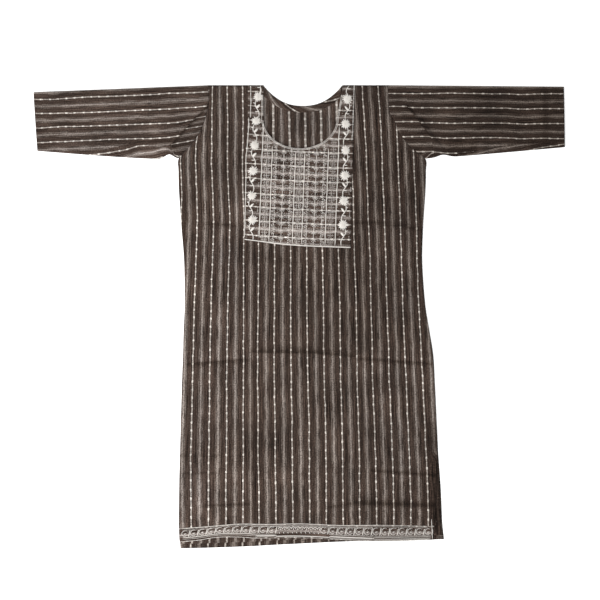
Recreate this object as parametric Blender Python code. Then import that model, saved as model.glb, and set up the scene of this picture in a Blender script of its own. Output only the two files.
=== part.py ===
"""A striped cotton kurta tunic, laid flat on its back with the sleeves spread.

+X runs to the viewer's right, +Y from hem to shoulders and +Z out of the front. The origin is on
the surface that the tunic lies on, under the middle of its bounding box. Every size below is in
millimetres; a point's height is measured up the cloth from the lowest point of the hem, and its
level is how far it stands off the surface.
"""

import math

import bmesh
import bpy
from mathutils import Vector

MM = 0.001

# Cloth and how it is stacked
WALL = 1.0  # thickness of each wall of cloth
GAP = 0.3  # clearance between pieces at a seam and between layers
AIR = 1.1  # how far the front layer stands off the back one, away from its edges
EDGE_FADE = 42.0  # distance from an edge over which that air runs out
BACK_TOP = WALL
FRONT_UNDER = BACK_TOP + GAP

# Driving sizes
LENGTH = 949.2  # lowest hem to shoulder line
UNDERARM = 799.0  # height of the underarm points
ARMHOLE_ROWS = 9  # rows of mesh between underarm and shoulder
ROWS_BELOW_ARM = 2  # rows of the same height between chest line and underarm
CHEST = UNDERARM - ROWS_BELOW_ARM * (LENGTH - UNDERARM) / ARMHOLE_ROWS

# Half widths of the body at each height; above the underarm they follow the armhole seam.
# (height, left, right)
BODY_SECTIONS = (
    (0.0, 245.0, 295.0),
    (37.0, 248.0, 292.0),
    (119.0, 248.0, 288.6),
    (201.0, 246.0, 283.0),
    (344.0, 242.0, 276.0),
    (396.0, 240.0, 273.0),
    (447.0, 238.6, 265.0),
    (500.0, 236.4, 256.6),
    (590.0, 237.8, 250.4),
    (652.0, 242.6, 251.6),
    (734.0, 248.2, 257.0),
    (775.0, 249.2, 258.0),
    (799.0, 248.8, 256.6),
    (820.0, 229.6, 229.6),
    (853.0, 205.0, 203.0),
    (873.0, 196.8, 195.5),
    (894.0, 191.2, 183.8),
    (914.0, 186.6, 182.0),
    (949.2, 185.5, 180.4),
)

# The front's lower edge ripples where the cloth is creased. (x, height)
FRONT_HEM = (
    (-248.0, 13.3),
    (-211.0, 16.4),
    (-172.0, 22.5),
    (-140.0, 23.5),
    (-113.0, 22.5),
    (-92.0, 21.0),
    (0.0, 22.0),
    (102.0, 17.0),
    (164.0, 14.6),
    (271.0, 17.8),
)
HEM_LINE = 20.0  # nominal height of the front hem
HEM_SETTLE = 75.0  # distance up the cloth over which its ripple dies out
# (x, height) along the back's hem, which climbs from left to right
BACK_HEM = ((-245.0, 0.0), (-197.0, 0.8), (-148.0, 2.4), (-98.0, 4.4), (-49.0, 7.2), (0.0, 9.6),
            (74.0, 13.2), (123.0, 14.8), (197.0, 16.4), (295.0, 18.6))
BORDER_ROW = 50  # nominal height of the upper edge of the strip applied along the front hem
# (x, height) along that edge
BORDER_TOP = (
    (-248.0, 40.8),
    (-185.0, 45.8),
    (-123.0, 50.8),
    (-60.0, 50.2),
    (0.0, 51.4),
    (82.0, 48.0),
    (172.0, 48.4),
    (271.0, 46.0),
)
VENT_TOP = 225.0  # height of the side slit's top
VENT_SETBACK = 23.5  # how far the front's right slit edge lies inside the back's, at the hem
VENT_CURVE = 1.4

# Neck
NECK_HALF_WIDTH = 75.0
NECK_SIDE_FOOT = 880.0  # height where the straight sides meet the round bottom
NECK_ROUND = 60.0  # depth of the round bottom
NECK_RIGHT_LEAN = 13.3  # how far the right side leans out at the shoulder
BACK_NECK_MIDDLE = 5.6
BACK_NECK_HALF_WIDTH = 81.0
BACK_NECK_DEPTH = 42.2
BACK_NECK_POWER = 2.35
FACING_WIDTH = 14.0
FACING_REACH = 0.95  # share of the back neck's half width that the facing covers
FACING_CLEARANCE = 0.5  # between the facing's ends and the front's neckline

# Press folds that run down the whole front, and where the chest-line columns meet them
LEFT_PRESS_FOLD = -94.0
RIGHT_PRESS_FOLD = 135.0

# Creases of the front layer. (x, height) of both ends, half width, rise: a trough has a minus sign.
FRONT_CREASES = (
    # start x, start h, end x, end h, half width, rise
    (LEFT_PRESS_FOLD, 600.0, LEFT_PRESS_FOLD, 40.0, 9.0, 2.1),
    (RIGHT_PRESS_FOLD, 760.0, RIGHT_PRESS_FOLD + 2.0, 40.0, 9.0, 1.7),
    (-236.0, 381.0, -100.0, 388.0, 8.0, -1.3),
    (-88.0, 400.0, 128.0, 398.0, 8.0, 2.0),
    (138.0, 390.0, 268.0, 381.0, 8.0, -1.2),
    (-238.0, 658.0, -122.0, 646.0, 9.0, 1.4),
    (120.0, 650.0, 246.0, 655.0, 9.0, 1.6),
    (-242.0, 156.0, -150.0, 153.0, 9.0, 1.2),
    (205.0, 156.0, 278.0, 150.0, 9.0, 1.3),
    (-100.0, 86.0, -50.0, 84.0, 9.0, 1.1),
    (120.0, 92.0, 268.0, 88.0, 9.0, 1.6),
    (-205.0, 92.0, -150.0, 44.0, 12.0, 1.6),
)
SIDE_GATHER = (-214.0, 300.0, -216.0, 500.0, 14.0, 1.0)

# Heights of the front's rows of mesh below the chest line, closest where creases cross it
FRONT_ROWS = (
    20, 36, 50, 70, 90, 112, 136, 155, 176, 215, 260, 305, 345,
    368, 381, 390, 400, 412, 440, 490, 545, 592, 624, 640, 655, 672, 715,
)
BACK_ROWS = (0, 60, 140, 250, 344, 396, 447, 500, 590, 652, 715)

# Yoke: an applied panel with its stripes running across, made from the front's own points
YOKE_ROW = 624  # the row of the front's mesh that the yoke's foot follows
YOKE_ROW_REACH = 40.0  # distance over which the rows beside it follow it too
# (x, height) along the yoke's foot
YOKE_FOOT = ((-113.0, 631.8), (-13.0, 620.2), (105.0, 615.0))
YOKE_LEFT = (-112.5, -106.6)  # x at the chest line and at the shoulder
YOKE_RIGHT = (107.0, 113.0)
YOKE_DRIFT = 3.0  # how far the panel's foot lies to the left of a straight hang
YOKE_DRIFT_REACH = 120.0  # half the width of cloth that drifts with it
YOKE_DRIFT_FADE = 22.0
YOKE_DRIFT_DROP = 150.0  # how far below its foot the cloth still drifts

# Columns of the front's mesh outside the neckline: (x at the chest line, x at the shoulder)
LEFT_COLUMNS = ((-222.0, -172.0), (-197.0, -156.0), (-168.0, -139.0), (-140.0, -122.0))
RIGHT_COLUMNS = ((121.0, 124.0), (RIGHT_PRESS_FOLD, 134.0), (152.0, 146.0), (178.0, 158.0),
                 (204.0, 167.0), (230.0, 174.0))
NECK_RIGHT_CHEST = 92.0  # x at the chest line of the column that ends at the right neck point
NECK_COLUMNS = 14

# Sleeves: the cuff's two ends, the little notch where the cloth bunches at the underarm, and how
# far the lower edge sags below a straight line
# (cuff top x, cuff top h, cuff foot x, cuff foot h, notch x, notch half width, notch rise, sag)
LEFT_SLEEVE = (-546.2, 935.0, -538.2, 814.4, -268.0, 12.0, 9.5, 3.8)
RIGHT_SLEEVE = (540.6, 946.2, 542.6, 822.2, 293.0, 15.0, 5.5, 1.2)
SAG_POWER = 0.6  # below 1 the sag is deepest nearer the body
SEAM_CLEARANCE = 0.5  # measured along the sleeve; about 0.3 square to the slanting armhole
SLEEVE_AIR = 1.0
SLEEVE_STATIONS = (
    0.0, 0.025, 0.05, 0.075, 0.10, 0.125, 0.15, 0.18, 0.21, 0.25, 0.31, 0.39, 0.48, 0.58, 0.68,
    0.78, 0.88, 0.95, 1.0,
)
UNDER_LAYER_STEP = 2  # the flat under layer of a sleeve keeps every second point across
LEFT_SLEEVE_CREASES = (
    # start x, start h, end x, end h, half width, rise
    (-189.0, 908.0, -264.0, 826.0, 8.0, 2.8),
    (-264.0, 826.0, -250.0, 817.0, 7.0, 1.6),
    (-360.0, 806.0, -280.0, 819.0, 10.0, 2.2),
    (-470.0, 925.0, -486.0, 826.0, 12.0, 1.3),
    (-395.0, 935.0, -405.0, 860.0, 12.0, 0.9),
)
RIGHT_SLEEVE_CREASES = (
    (216.0, 905.0, 247.0, 877.0, 8.0, 2.0),
    (247.0, 877.0, 288.0, 822.0, 8.0, 2.4),
    (300.0, 808.0, 350.0, 815.0, 8.0, 2.0),
    (350.0, 815.0, 480.0, 822.0, 9.0, 1.2),
    (438.0, 938.0, 441.0, 830.0, 10.0, 1.1),
    (497.0, 940.0, 499.0, 828.0, 10.0, 0.9),
)


def clear_scene():
    for old in list(bpy.data.objects):
        bpy.data.objects.remove(old, do_unlink=True)


def mix(a, b, share):
    return a + (b - a) * share


def smooth_step(share):
    share = min(1.0, max(0.0, share))
    return share * share * (3.0 - 2.0 * share)


def curve_through(table, column, at):
    """A smooth curve through one column of a table whose first column rises."""
    last = len(table) - 1
    row = max(0, min(last - 1, sum(1 for r in table if r[0] <= at) - 1))
    before, here = table[max(row - 1, 0)], table[row]
    ahead, after = table[row + 1], table[min(row + 2, last)]
    step = ahead[0] - here[0]
    share = min(1.0, max(0.0, (at - here[0]) / step))
    slope_here = (ahead[column] - before[column]) / (ahead[0] - before[0]) * step
    slope_ahead = (after[column] - here[column]) / (after[0] - here[0]) * step
    square, cube = share * share, share * share * share
    return (
        (2 * cube - 3 * square + 1) * here[column]
        + (cube - 2 * square + share) * slope_here
        + (3 * square - 2 * cube) * ahead[column]
        + (cube - square) * slope_ahead
    )


def left_edge(height):
    return -curve_through(BODY_SECTIONS, 1, height)


def right_edge(height):
    return curve_through(BODY_SECTIONS, 2, height)


def front_right_edge(height):
    """Below the vent's top, the front's slit edge lies inside the back's."""
    open_share = max(0.0, 1.0 - height / VENT_TOP)
    return right_edge(height) - VENT_SETBACK * open_share**VENT_CURVE


def fold_height(folds, x, height):
    """The sum of soft ridges and troughs at one point of the cloth."""
    total = 0.0
    for x0, h0, x1, h1, half_width, rise in folds:
        run, climb = x1 - x0, h1 - h0
        along = ((x - x0) * run + (height - h0) * climb) / (run * run + climb * climb)
        along = min(1.0, max(0.0, along))
        away = math.hypot(x - x0 - along * run, height - h0 - along * climb)
        total += rise * math.exp(-((away / half_width) ** 2))
    return total


def front_level(x, height):
    """Level of the front layer's underside."""
    inside = smooth_step((x - left_edge(height)) / EDGE_FADE)
    inside *= smooth_step((front_right_edge(height) - x) / EDGE_FADE)
    inside *= smooth_step((height - HEM_LINE + 8.0) / EDGE_FADE)
    inside *= smooth_step((LENGTH - height) / EDGE_FADE)
    folds = fold_height((*FRONT_CREASES, SIDE_GATHER), x, height)
    return FRONT_UNDER + max(0.0, AIR * inside + folds * min(1.0, inside + 0.15))


def front_neck(share):
    """A point on the front's neckline, from the left neck point (0) round to the right one (1)."""
    side = LENGTH - NECK_SIDE_FOOT
    side_share = 0.16
    if share < side_share:
        return -NECK_HALF_WIDTH, LENGTH - side * share / side_share
    if share > 1.0 - side_share:
        up = (share - 1.0 + side_share) / side_share
        return NECK_HALF_WIDTH + NECK_RIGHT_LEAN * up, NECK_SIDE_FOOT + side * up
    turn = math.pi * (share - side_share) / (1.0 - 2.0 * side_share)
    return -NECK_HALF_WIDTH * math.cos(turn), NECK_SIDE_FOOT - NECK_ROUND * math.sin(turn)


def back_neck(share):
    """A point on the back's shallow neckline, from left (0) to right (1)."""
    across = 2.0 * share - 1.0
    depth = BACK_NECK_DEPTH * (1.0 - abs(across) ** BACK_NECK_POWER)
    return BACK_NECK_MIDDLE + BACK_NECK_HALF_WIDTH * across, LENGTH - depth


def between(start, end, steps):
    """Columns from one to another, without the last."""
    return [tuple(mix(a, b, step / steps) for a, b in zip(start, end)) for step in range(steps)]


def front_columns():
    """The front's columns: (x at the chest line, top x, top height)."""
    columns = [(left_edge(CHEST), left_edge(LENGTH), LENGTH)]
    columns += [(*column, LENGTH) for column in (*LEFT_COLUMNS, YOKE_LEFT)]
    for step in range(NECK_COLUMNS + 1):
        share = step / NECK_COLUMNS
        columns.append((mix(LEFT_PRESS_FOLD, NECK_RIGHT_CHEST, share), *front_neck(share)))
    columns += [(*column, LENGTH) for column in (YOKE_RIGHT, *RIGHT_COLUMNS)]
    columns.append((right_edge(CHEST), right_edge(LENGTH), LENGTH))
    return columns


def back_columns():
    """The back's columns: (x at the chest line, top x, top height)."""
    shoulder_steps, neck_steps = 4, 10
    left = (left_edge(CHEST), left_edge(LENGTH), LENGTH)
    right = (right_edge(CHEST), right_edge(LENGTH), LENGTH)
    neck = []
    for step in range(neck_steps + 1):
        share = step / neck_steps
        neck.append((mix(-BACK_NECK_HALF_WIDTH, BACK_NECK_HALF_WIDTH, share), *back_neck(share)))
    columns = between(left, neck[0], shoulder_steps) + neck[:-1]
    return columns + between(neck[-1], right, shoulder_steps) + [right]


def across(x_at_chest, left, right):
    """Where a column crosses a lower row: the press folds stay where they are."""
    folds = (left_edge(CHEST), LEFT_PRESS_FOLD, RIGHT_PRESS_FOLD, right_edge(CHEST))
    here = (left, LEFT_PRESS_FOLD, RIGHT_PRESS_FOLD, right)
    part = max(0, min(2, sum(1 for fold in folds if fold <= x_at_chest) - 1))
    share = (x_at_chest - folds[part]) / (folds[part + 1] - folds[part])
    return mix(here[part], here[part + 1], share)


def drift(x_at_chest, row):
    """How far a column lies to the left of a straight hang where the yoke's foot pulls on it."""
    span = CHEST - YOKE_ROW if row > YOKE_ROW else YOKE_DRIFT_DROP
    near = max(0.0, 1.0 - abs(row - YOKE_ROW) / span)
    return YOKE_DRIFT * near * smooth_step((YOKE_DRIFT_REACH - abs(x_at_chest)) / YOKE_DRIFT_FADE + 1.0)


def beside_armhole(x_at_chest, top_x, up):
    """Where a column crosses a higher row: the edges follow the armholes, and the middle runs straight."""
    level = mix(CHEST, LENGTH, up)
    left_swing = left_edge(level) - mix(left_edge(CHEST), left_edge(LENGTH), up)
    right_swing = right_edge(level) - mix(right_edge(CHEST), right_edge(LENGTH), up)
    by_left = (LEFT_PRESS_FOLD - x_at_chest) / (LEFT_PRESS_FOLD - left_edge(CHEST))
    by_right = (x_at_chest - RIGHT_PRESS_FOLD) / (right_edge(CHEST) - RIGHT_PRESS_FOLD)
    swing = left_swing * max(0.0, by_left) + right_swing * max(0.0, by_right)
    return mix(x_at_chest, top_x, up) + swing


def body_grid(columns, rows, right_side, row_height):
    """Rows of (x, height) from the hem up to the shoulders and neckline."""
    grid = []
    for row in rows:
        left, right = left_edge(row), right_side(row)
        line = [across(x, left, right) - drift(x, row) for x, _, _ in columns]
        grid.append([(x, row_height(x, row)) for x in line])
    upper_rows = ARMHOLE_ROWS + ROWS_BELOW_ARM
    for step in range(upper_rows + 1):
        up = step / upper_rows
        line = []
        for x_at_chest, top_x, top_height in columns:
            x = beside_armhole(x_at_chest, top_x, up)
            line.append((x, mix(CHEST, top_height, up)))
        grid.append(line)
    return grid


def place(x, height, level):
    return Vector((x, height - LENGTH / 2.0, level)) * MM


def material(name, colour, roughness):
    made = bpy.data.materials.new(name)
    made.use_nodes = True
    shader = made.node_tree.nodes["Principled BSDF"]
    shader.inputs["Base Color"].default_value = (*colour, 1.0)
    shader.inputs["Roughness"].default_value = roughness
    return made


def wall(name, outer, inner, cloth, collection, tube=False):
    """One closed wall of cloth between an outer and an inner sheet of points, row by row."""
    mesh_builder = bmesh.new()
    sheets = [[[mesh_builder.verts.new(p) for p in row] for row in s] for s in (outer, inner)]
    rows, across = len(outer), len(outer[0])
    last = across if tube else across - 1

    def quads(first, second, third, fourth):
        mesh_builder.faces.new((first, second, third, fourth))

    for row in range(rows - 1):
        for step in range(last):
            beside = (step + 1) % across
            for sheet in sheets:
                quads(sheet[row][step], sheet[row][beside], sheet[row + 1][beside],
                      sheet[row + 1][step])
    top, under = sheets
    for row in (0, rows - 1):
        for step in range(last):
            beside = (step + 1) % across
            quads(top[row][step], top[row][beside], under[row][beside], under[row][step])
    if not tube:
        for step in (0, across - 1):
            for row in range(rows - 1):
                quads(top[row][step], top[row + 1][step], under[row + 1][step], under[row][step])
    bmesh.ops.recalc_face_normals(mesh_builder, faces=mesh_builder.faces[:])
    mesh = bpy.data.meshes.new(name)
    mesh_builder.to_mesh(mesh)
    mesh_builder.free()
    mesh.shade_smooth()
    mesh.set_sharp_from_angle(angle=math.radians(50.0))
    mesh.materials.append(cloth)
    collection.objects.link(bpy.data.objects.new(name, mesh))


def flat_wall(name, grid, under_level, cloth, collection):
    """A wall of cloth over a grid of (x, height)."""
    inner = [[place(x, h, under_level(x, h)) for x, h in row] for row in grid]
    outer = [[place(x, h, under_level(x, h) + WALL) for x, h in row] for row in grid]
    wall(name, outer, inner, cloth, collection)


def make_back(cloth, collection):
    def row_height(x, row):
        return row + curve_through(BACK_HEM, 1, x) * smooth_step(1.0 - row / HEM_SETTLE)

    grid = body_grid(back_columns(), BACK_ROWS, right_edge, row_height)
    flat_wall("back_panel", grid, lambda x, h: 0.0, cloth, collection)


def front_row_height(x, row):
    """The front's rows ripple with its hem and border, and slant with the yoke's foot."""
    border_top = curve_through(BORDER_TOP, 1, x)
    if row <= BORDER_ROW:
        share = (row - HEM_LINE) / (BORDER_ROW - HEM_LINE)
        return mix(curve_through(FRONT_HEM, 1, x), border_top, share)
    ripple = (border_top - BORDER_ROW) * smooth_step(1.0 - (row - BORDER_ROW) / HEM_SETTLE)
    foot = curve_through(YOKE_FOOT, 1, x) - YOKE_ROW
    near = math.exp(-(((row - YOKE_ROW) / YOKE_ROW_REACH) ** 2))
    return row + ripple + foot * near


def make_front(grid, cloth, collection):
    flat_wall("front_panel", grid, front_level, cloth, collection)


def over_front(x, height):
    """Level of the underside of what lies on the front."""
    return front_level(x, height) + WALL + GAP


def make_border(grid, cloth, collection):
    """The strip along the front hem."""
    rows = [row for row, height in zip(grid, FRONT_ROWS) if height <= BORDER_ROW]
    flat_wall("hem_border", rows, over_front, cloth, collection)


def make_yoke(grid, cloth, collection):
    """The applied panel round the neck."""
    first = len(LEFT_COLUMNS) + 1
    last = first + NECK_COLUMNS + 2
    rows = [row[first:last + 1] for row in grid[FRONT_ROWS.index(YOKE_ROW):]]
    flat_wall("yoke_panel", rows, over_front, cloth, collection)


def make_facing(cloth, collection):
    """The bias strip inside the back neck."""
    steps = 18
    edge, inside = [], []
    for step in range(steps + 1):
        share = 0.5 + FACING_REACH * (step / steps - 0.5)
        x, height = back_neck(share)
        ahead, behind = back_neck(share + 0.01), back_neck(share - 0.01)
        along = Vector((ahead[0] - behind[0], ahead[1] - behind[1])).normalized()
        edge.append((x + along.y * GAP, height - along.x * GAP))
        inner_height = height - along.x * FACING_WIDTH
        lean = NECK_RIGHT_LEAN * (inner_height - NECK_SIDE_FOOT) / (LENGTH - NECK_SIDE_FOOT)
        inner_x = min(x + along.y * FACING_WIDTH, NECK_HALF_WIDTH + lean - FACING_CLEARANCE)
        inside.append((max(inner_x, FACING_CLEARANCE - NECK_HALF_WIDTH), inner_height))
    middle = [((a[0] + b[0]) / 2, (a[1] + b[1]) / 2) for a, b in zip(edge, inside)]
    flat_wall("back_neck_facing", [inside, middle, edge], lambda x, h: BACK_TOP + GAP, cloth,
              collection)


def armhole_points(grid, side):
    """The body's own edge points from shoulder down to underarm, with a point midway between."""
    column = 0 if side < 0 else -1
    nodes = [row[column] for row in grid[-(ARMHOLE_ROWS + 1):]][::-1]
    points = [nodes[0]]
    for above, below in zip(nodes, nodes[1:]):
        points += [((above[0] + below[0]) / 2, (above[1] + below[1]) / 2), below]
    return [(x + side * SEAM_CLEARANCE, h) for x, h in points]


def make_sleeve(name, side, sizes, creases, grid, cloth, collection):
    """A flattened tube: a raised upper layer, a flat under layer, a fold above and a seam below."""
    cuff_top_x, cuff_top_h, cuff_foot_x, cuff_foot_h, notch_x, notch_half, rise, sag = sizes
    seam = armhole_points(grid, side)
    middle = WALL + GAP / 2.0  # level midway between the two layers

    def across_station(station):
        line = []
        for place_across, (x, height) in enumerate(seam):
            share = place_across / (len(seam) - 1)
            cuff_x = mix(cuff_top_x, cuff_foot_x, share)
            cuff_h = mix(cuff_top_h, cuff_foot_h, share)
            at_x, at_h = mix(x, cuff_x, station), mix(height, cuff_h, station)
            notch = rise * math.exp(-(((at_x - notch_x) / notch_half) ** 2))
            droop = sag * math.sin(math.pi * station**SAG_POWER)
            line.append((at_x, at_h + (notch - droop) * share**4))
        return line

    def ring(station, radius):
        line = across_station(station)
        ends = smooth_step(station / 0.12)
        points = []
        for place_across, (x, height) in enumerate(line[1:-1], start=1):
            share = place_across / (len(line) - 1)
            inside = smooth_step(min(share, 1.0 - share) / 0.25) * ends
            lift = SLEEVE_AIR * inside + fold_height(creases, x, height) * min(1.0, inside + 0.2)
            lift *= smooth_step(share / 0.05) * smooth_step((1.0 - share) / 0.05)
            points.append(place(x, height, middle + radius + max(0.0, lift) * smooth_step(station / 0.03)))
        reach = Vector(line[-1]) - Vector(line[-2])
        foot = Vector(line[-1]) - reach.normalized() * (middle - radius)
        points.append(place(foot.x, foot.y, middle))
        for x, height in line[-2:0:-UNDER_LAYER_STEP]:
            points.append(place(x, height, middle - radius))
        reach = Vector(line[0]) - Vector(line[1])
        head = Vector(line[0]) - reach.normalized() * (middle - radius)
        points.append(place(head.x, head.y, middle))
        return points

    outer = [ring(station, middle) for station in SLEEVE_STATIONS]
    inner = [ring(station, GAP / 2.0) for station in SLEEVE_STATIONS]
    wall(name, outer, inner, cloth, collection, tube=True)


def make_tunic():
    clear_scene()
    collection = bpy.data.collections.new("kurta_tunic")
    bpy.context.scene.collection.children.link(collection)
    cotton = material("striped_cotton", (0.078, 0.060, 0.050), 0.9)
    embroidered = material("embroidered_cotton", (0.26, 0.23, 0.21), 0.88)
    grid = body_grid(front_columns(), FRONT_ROWS, front_right_edge, front_row_height)
    make_back(cotton, collection)
    make_front(grid, cotton, collection)
    make_border(grid, embroidered, collection)
    make_yoke(grid, embroidered, collection)
    make_facing(cotton, collection)
    make_sleeve("sleeve_left", -1, LEFT_SLEEVE, LEFT_SLEEVE_CREASES, grid, cotton, collection)
    make_sleeve("sleeve_right", 1, RIGHT_SLEEVE, RIGHT_SLEEVE_CREASES, grid, cotton, collection)


make_tunic()
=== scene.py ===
"""A striped cotton kurta tunic, laid flat on its back: the cloth, stripes and embroidery over the solids.

Sizes are in millimetres until place() turns them into the frame's metres. A point of cloth is given
by x, which runs to the right of the middle, and its height up the tunic from the hem's lowest point.
Its level is how far it stands off the floor.
"""

import math

import bmesh
import bpy
import numpy as np
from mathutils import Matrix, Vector


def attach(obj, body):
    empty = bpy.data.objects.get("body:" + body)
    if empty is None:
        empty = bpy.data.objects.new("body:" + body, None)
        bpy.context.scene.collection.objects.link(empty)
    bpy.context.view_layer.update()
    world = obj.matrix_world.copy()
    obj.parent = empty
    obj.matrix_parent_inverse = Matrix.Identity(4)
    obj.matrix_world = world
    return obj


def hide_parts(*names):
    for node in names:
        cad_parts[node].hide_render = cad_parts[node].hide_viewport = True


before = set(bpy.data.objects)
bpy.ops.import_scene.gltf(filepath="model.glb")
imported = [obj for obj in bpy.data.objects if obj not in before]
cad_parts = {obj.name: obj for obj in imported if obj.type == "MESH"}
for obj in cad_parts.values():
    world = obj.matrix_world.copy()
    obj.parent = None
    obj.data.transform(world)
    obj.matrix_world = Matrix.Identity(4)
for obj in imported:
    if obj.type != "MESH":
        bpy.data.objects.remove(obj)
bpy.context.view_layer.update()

MM = 0.001

# The stack of cloth in the solids, and the real cloth that lies on it
WALL = 1.0
GAP = 0.3
AIR = 1.1  # how far the front lifts off the back inside its edges
EDGE_FADE = 42.0  # and how far in from an edge it has lifted that far
CLOTH = 0.5  # thickness of the cloth shown
OVERLAY = CLOTH - 0.05  # thickness of the yoke and the border, sewn onto the front
ROLL = 1.0  # how far a sewn edge rolls down
ROLL_REACH = 5.0
FRONT_TOP = WALL + GAP + WALL

LENGTH = 949.2
UNDERARM = 799.0
ARMHOLE_ROWS = 9
ROWS_BELOW_ARM = 2
CHEST = UNDERARM - ROWS_BELOW_ARM * (LENGTH - UNDERARM) / ARMHOLE_ROWS

# (height, left half width, right half width); above the underarm they follow the armhole seam
BODY_SECTIONS = (
    (0.0, 245.0, 295.0),
    (37.0, 248.0, 292.0),
    (119.0, 248.0, 288.6),
    (201.0, 246.0, 283.0),
    (344.0, 242.0, 276.0),
    (396.0, 240.0, 273.0),
    (447.0, 238.6, 265.0),
    (500.0, 236.4, 256.6),
    (590.0, 237.8, 250.4),
    (652.0, 242.6, 251.6),
    (734.0, 248.2, 257.0),
    (775.0, 249.2, 258.0),
    (799.0, 248.8, 256.6),
    (820.0, 229.6, 229.6),
    (853.0, 205.0, 203.0),
    (873.0, 196.8, 195.5),
    (894.0, 191.2, 183.8),
    (914.0, 186.6, 182.0),
    (949.2, 185.5, 180.4),
)
# (x, height) along the front's lower edge
FRONT_HEM = (
    (-248.0, 13.3),
    (-211.0, 16.4),
    (-172.0, 22.5),
    (-140.0, 23.5),
    (-113.0, 22.5),
    (-92.0, 21.0),
    (0.0, 22.0),
    (102.0, 17.0),
    (164.0, 14.6),
    (271.0, 17.8),
)
HEM_LINE = 20.0
HEM_SETTLE = 75.0
# (x, height) along the back's hem, which climbs from left to right
BACK_HEM = ((-245.0, 0.0), (-197.0, 0.8), (-148.0, 2.4), (-98.0, 4.4), (-49.0, 7.2), (0.0, 9.6),
            (74.0, 13.2), (123.0, 14.8), (197.0, 16.4), (295.0, 18.6))
BORDER_ROW = 50.0
BORDER_HEIGHT = BORDER_ROW - HEM_LINE
# (x, height) along the border's upper edge
BORDER_TOP = (
    (-248.0, 40.8),
    (-185.0, 45.8),
    (-123.0, 50.8),
    (-60.0, 50.2),
    (0.0, 51.4),
    (82.0, 48.0),
    (172.0, 48.4),
    (271.0, 46.0),
)
# The side slit, where the front's right edge draws in from the back's
VENT_TOP = 225.0
VENT_SETBACK = 23.5
VENT_CURVE = 1.4

NECK_HALF_WIDTH = 75.0
NECK_SIDE_FOOT = 880.0
NECK_ROUND = 60.0
NECK_RIGHT_LEAN = 13.3
NECK_SIDE_SHARE = 0.16
BACK_NECK_MIDDLE = 5.6
BACK_NECK_HALF_WIDTH = 81.0
BACK_NECK_DEPTH = 42.2
BACK_NECK_POWER = 2.35
FACING_WIDTH = 14.0
FACING_REACH = 0.95  # share of the back neck that it runs along
FACING_CLEARANCE = 0.5
FACING_LEVEL = 1.4
FACING_BULGE = 0.3
FACING_REPEAT = 33.0
FACING_BIAS = math.radians(24.0)

LEFT_PRESS_FOLD = -94.0
RIGHT_PRESS_FOLD = 135.0
YOKE_ROW = 624.0
YOKE_ROW_REACH = 40.0
YOKE_FOOT = ((-113.0, 631.8), (-13.0, 620.2), (105.0, 615.0))
YOKE_LEFT = (-112.5, -106.6)
YOKE_RIGHT = (107.0, 113.0)
YOKE_DRIFT = 3.0
YOKE_DRIFT_REACH = 120.0
YOKE_DRIFT_FADE = 22.0
YOKE_DRIFT_DROP = 150.0
NECK_RIGHT_CHEST = 92.0
RIGHT_FOLD_TOP = 134.0

# Creases. The steeper side of a tuck has the smaller half width; a trough has a minus rise.
# (start x, start height, end x, end height, half width to the left of that way, to the right, rise)
FRONT_CREASES = (
    (LEFT_PRESS_FOLD, 600.0, LEFT_PRESS_FOLD, 30.0, 4.0, 9.0, 2.1),
    (RIGHT_PRESS_FOLD, 760.0, RIGHT_PRESS_FOLD + 2.0, 30.0, 9.0, 3.5, 1.7),
    (-236.0, 381.0, -100.0, 388.0, 5.0, 8.0, -1.3),
    (-88.0, 400.0, 128.0, 398.0, 8.0, 3.0, 2.0),
    (138.0, 390.0, 268.0, 381.0, 4.0, 8.0, -1.2),
    (-238.0, 658.0, -122.0, 646.0, 9.0, 6.0, 1.4),
    (120.0, 650.0, 246.0, 655.0, 9.0, 6.0, 1.6),
    (-242.0, 156.0, -150.0, 153.0, 9.0, 5.0, 1.2),
    (205.0, 156.0, 278.0, 150.0, 9.0, 5.0, 1.3),
    (-100.0, 86.0, -50.0, 84.0, 9.0, 5.0, 1.1),
    (120.0, 92.0, 268.0, 88.0, 9.0, 4.0, 1.6),
    (-205.0, 92.0, -150.0, 44.0, 12.0, 9.0, 1.6),
    (-214.0, 300.0, -216.0, 500.0, 14.0, 14.0, 1.0),
)
LEFT_SLEEVE_CREASES = (
    (-189.0, 908.0, -264.0, 826.0, 2.0, 9.0, 2.8),
    (-264.0, 826.0, -250.0, 817.0, 7.0, 3.0, 1.6),
    (-360.0, 806.0, -280.0, 819.0, 7.0, 10.0, 2.2),
    (-470.0, 925.0, -486.0, 826.0, 12.0, 12.0, 1.3),
    (-395.0, 935.0, -405.0, 860.0, 12.0, 12.0, 0.9),
)
RIGHT_SLEEVE_CREASES = (
    (216.0, 905.0, 247.0, 877.0, 2.2, 8.0, 2.0),
    (247.0, 877.0, 288.0, 822.0, 2.2, 8.0, 2.4),
    (300.0, 808.0, 350.0, 815.0, 3.5, 8.0, 2.0),
    (350.0, 815.0, 480.0, 822.0, 6.0, 9.0, 1.2),
    (438.0, 938.0, 441.0, 830.0, 10.0, 10.0, 1.1),
    (497.0, 940.0, 499.0, 828.0, 10.0, 10.0, 0.9),
)

# Sleeves: (cuff top x, cuff top h, cuff foot x, cuff foot h, notch x, half width, rise, sag)
LEFT_SLEEVE = (-546.2, 935.0, -538.2, 814.4, -268.0, 12.0, 9.5, 3.8)
RIGHT_SLEEVE = (540.6, 946.2, 542.6, 822.2, 293.0, 15.0, 5.5, 1.2)
SLEEVE_RUN = 300.0  # from the seam to the cuff, for the spacing of its rings
SLEEVE_AIR = 1.0
SLEEVE_CLOTH = 0.45
CUFF_ROLL_REACH = 4.0
SAG_POWER = 0.6
# Knots on a sleeve keep one pitch outwards from here, a little closer than at the hem
SLEEVE_KNOT_START = 350.0
SLEEVE_KNOTS = 1.075
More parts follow.
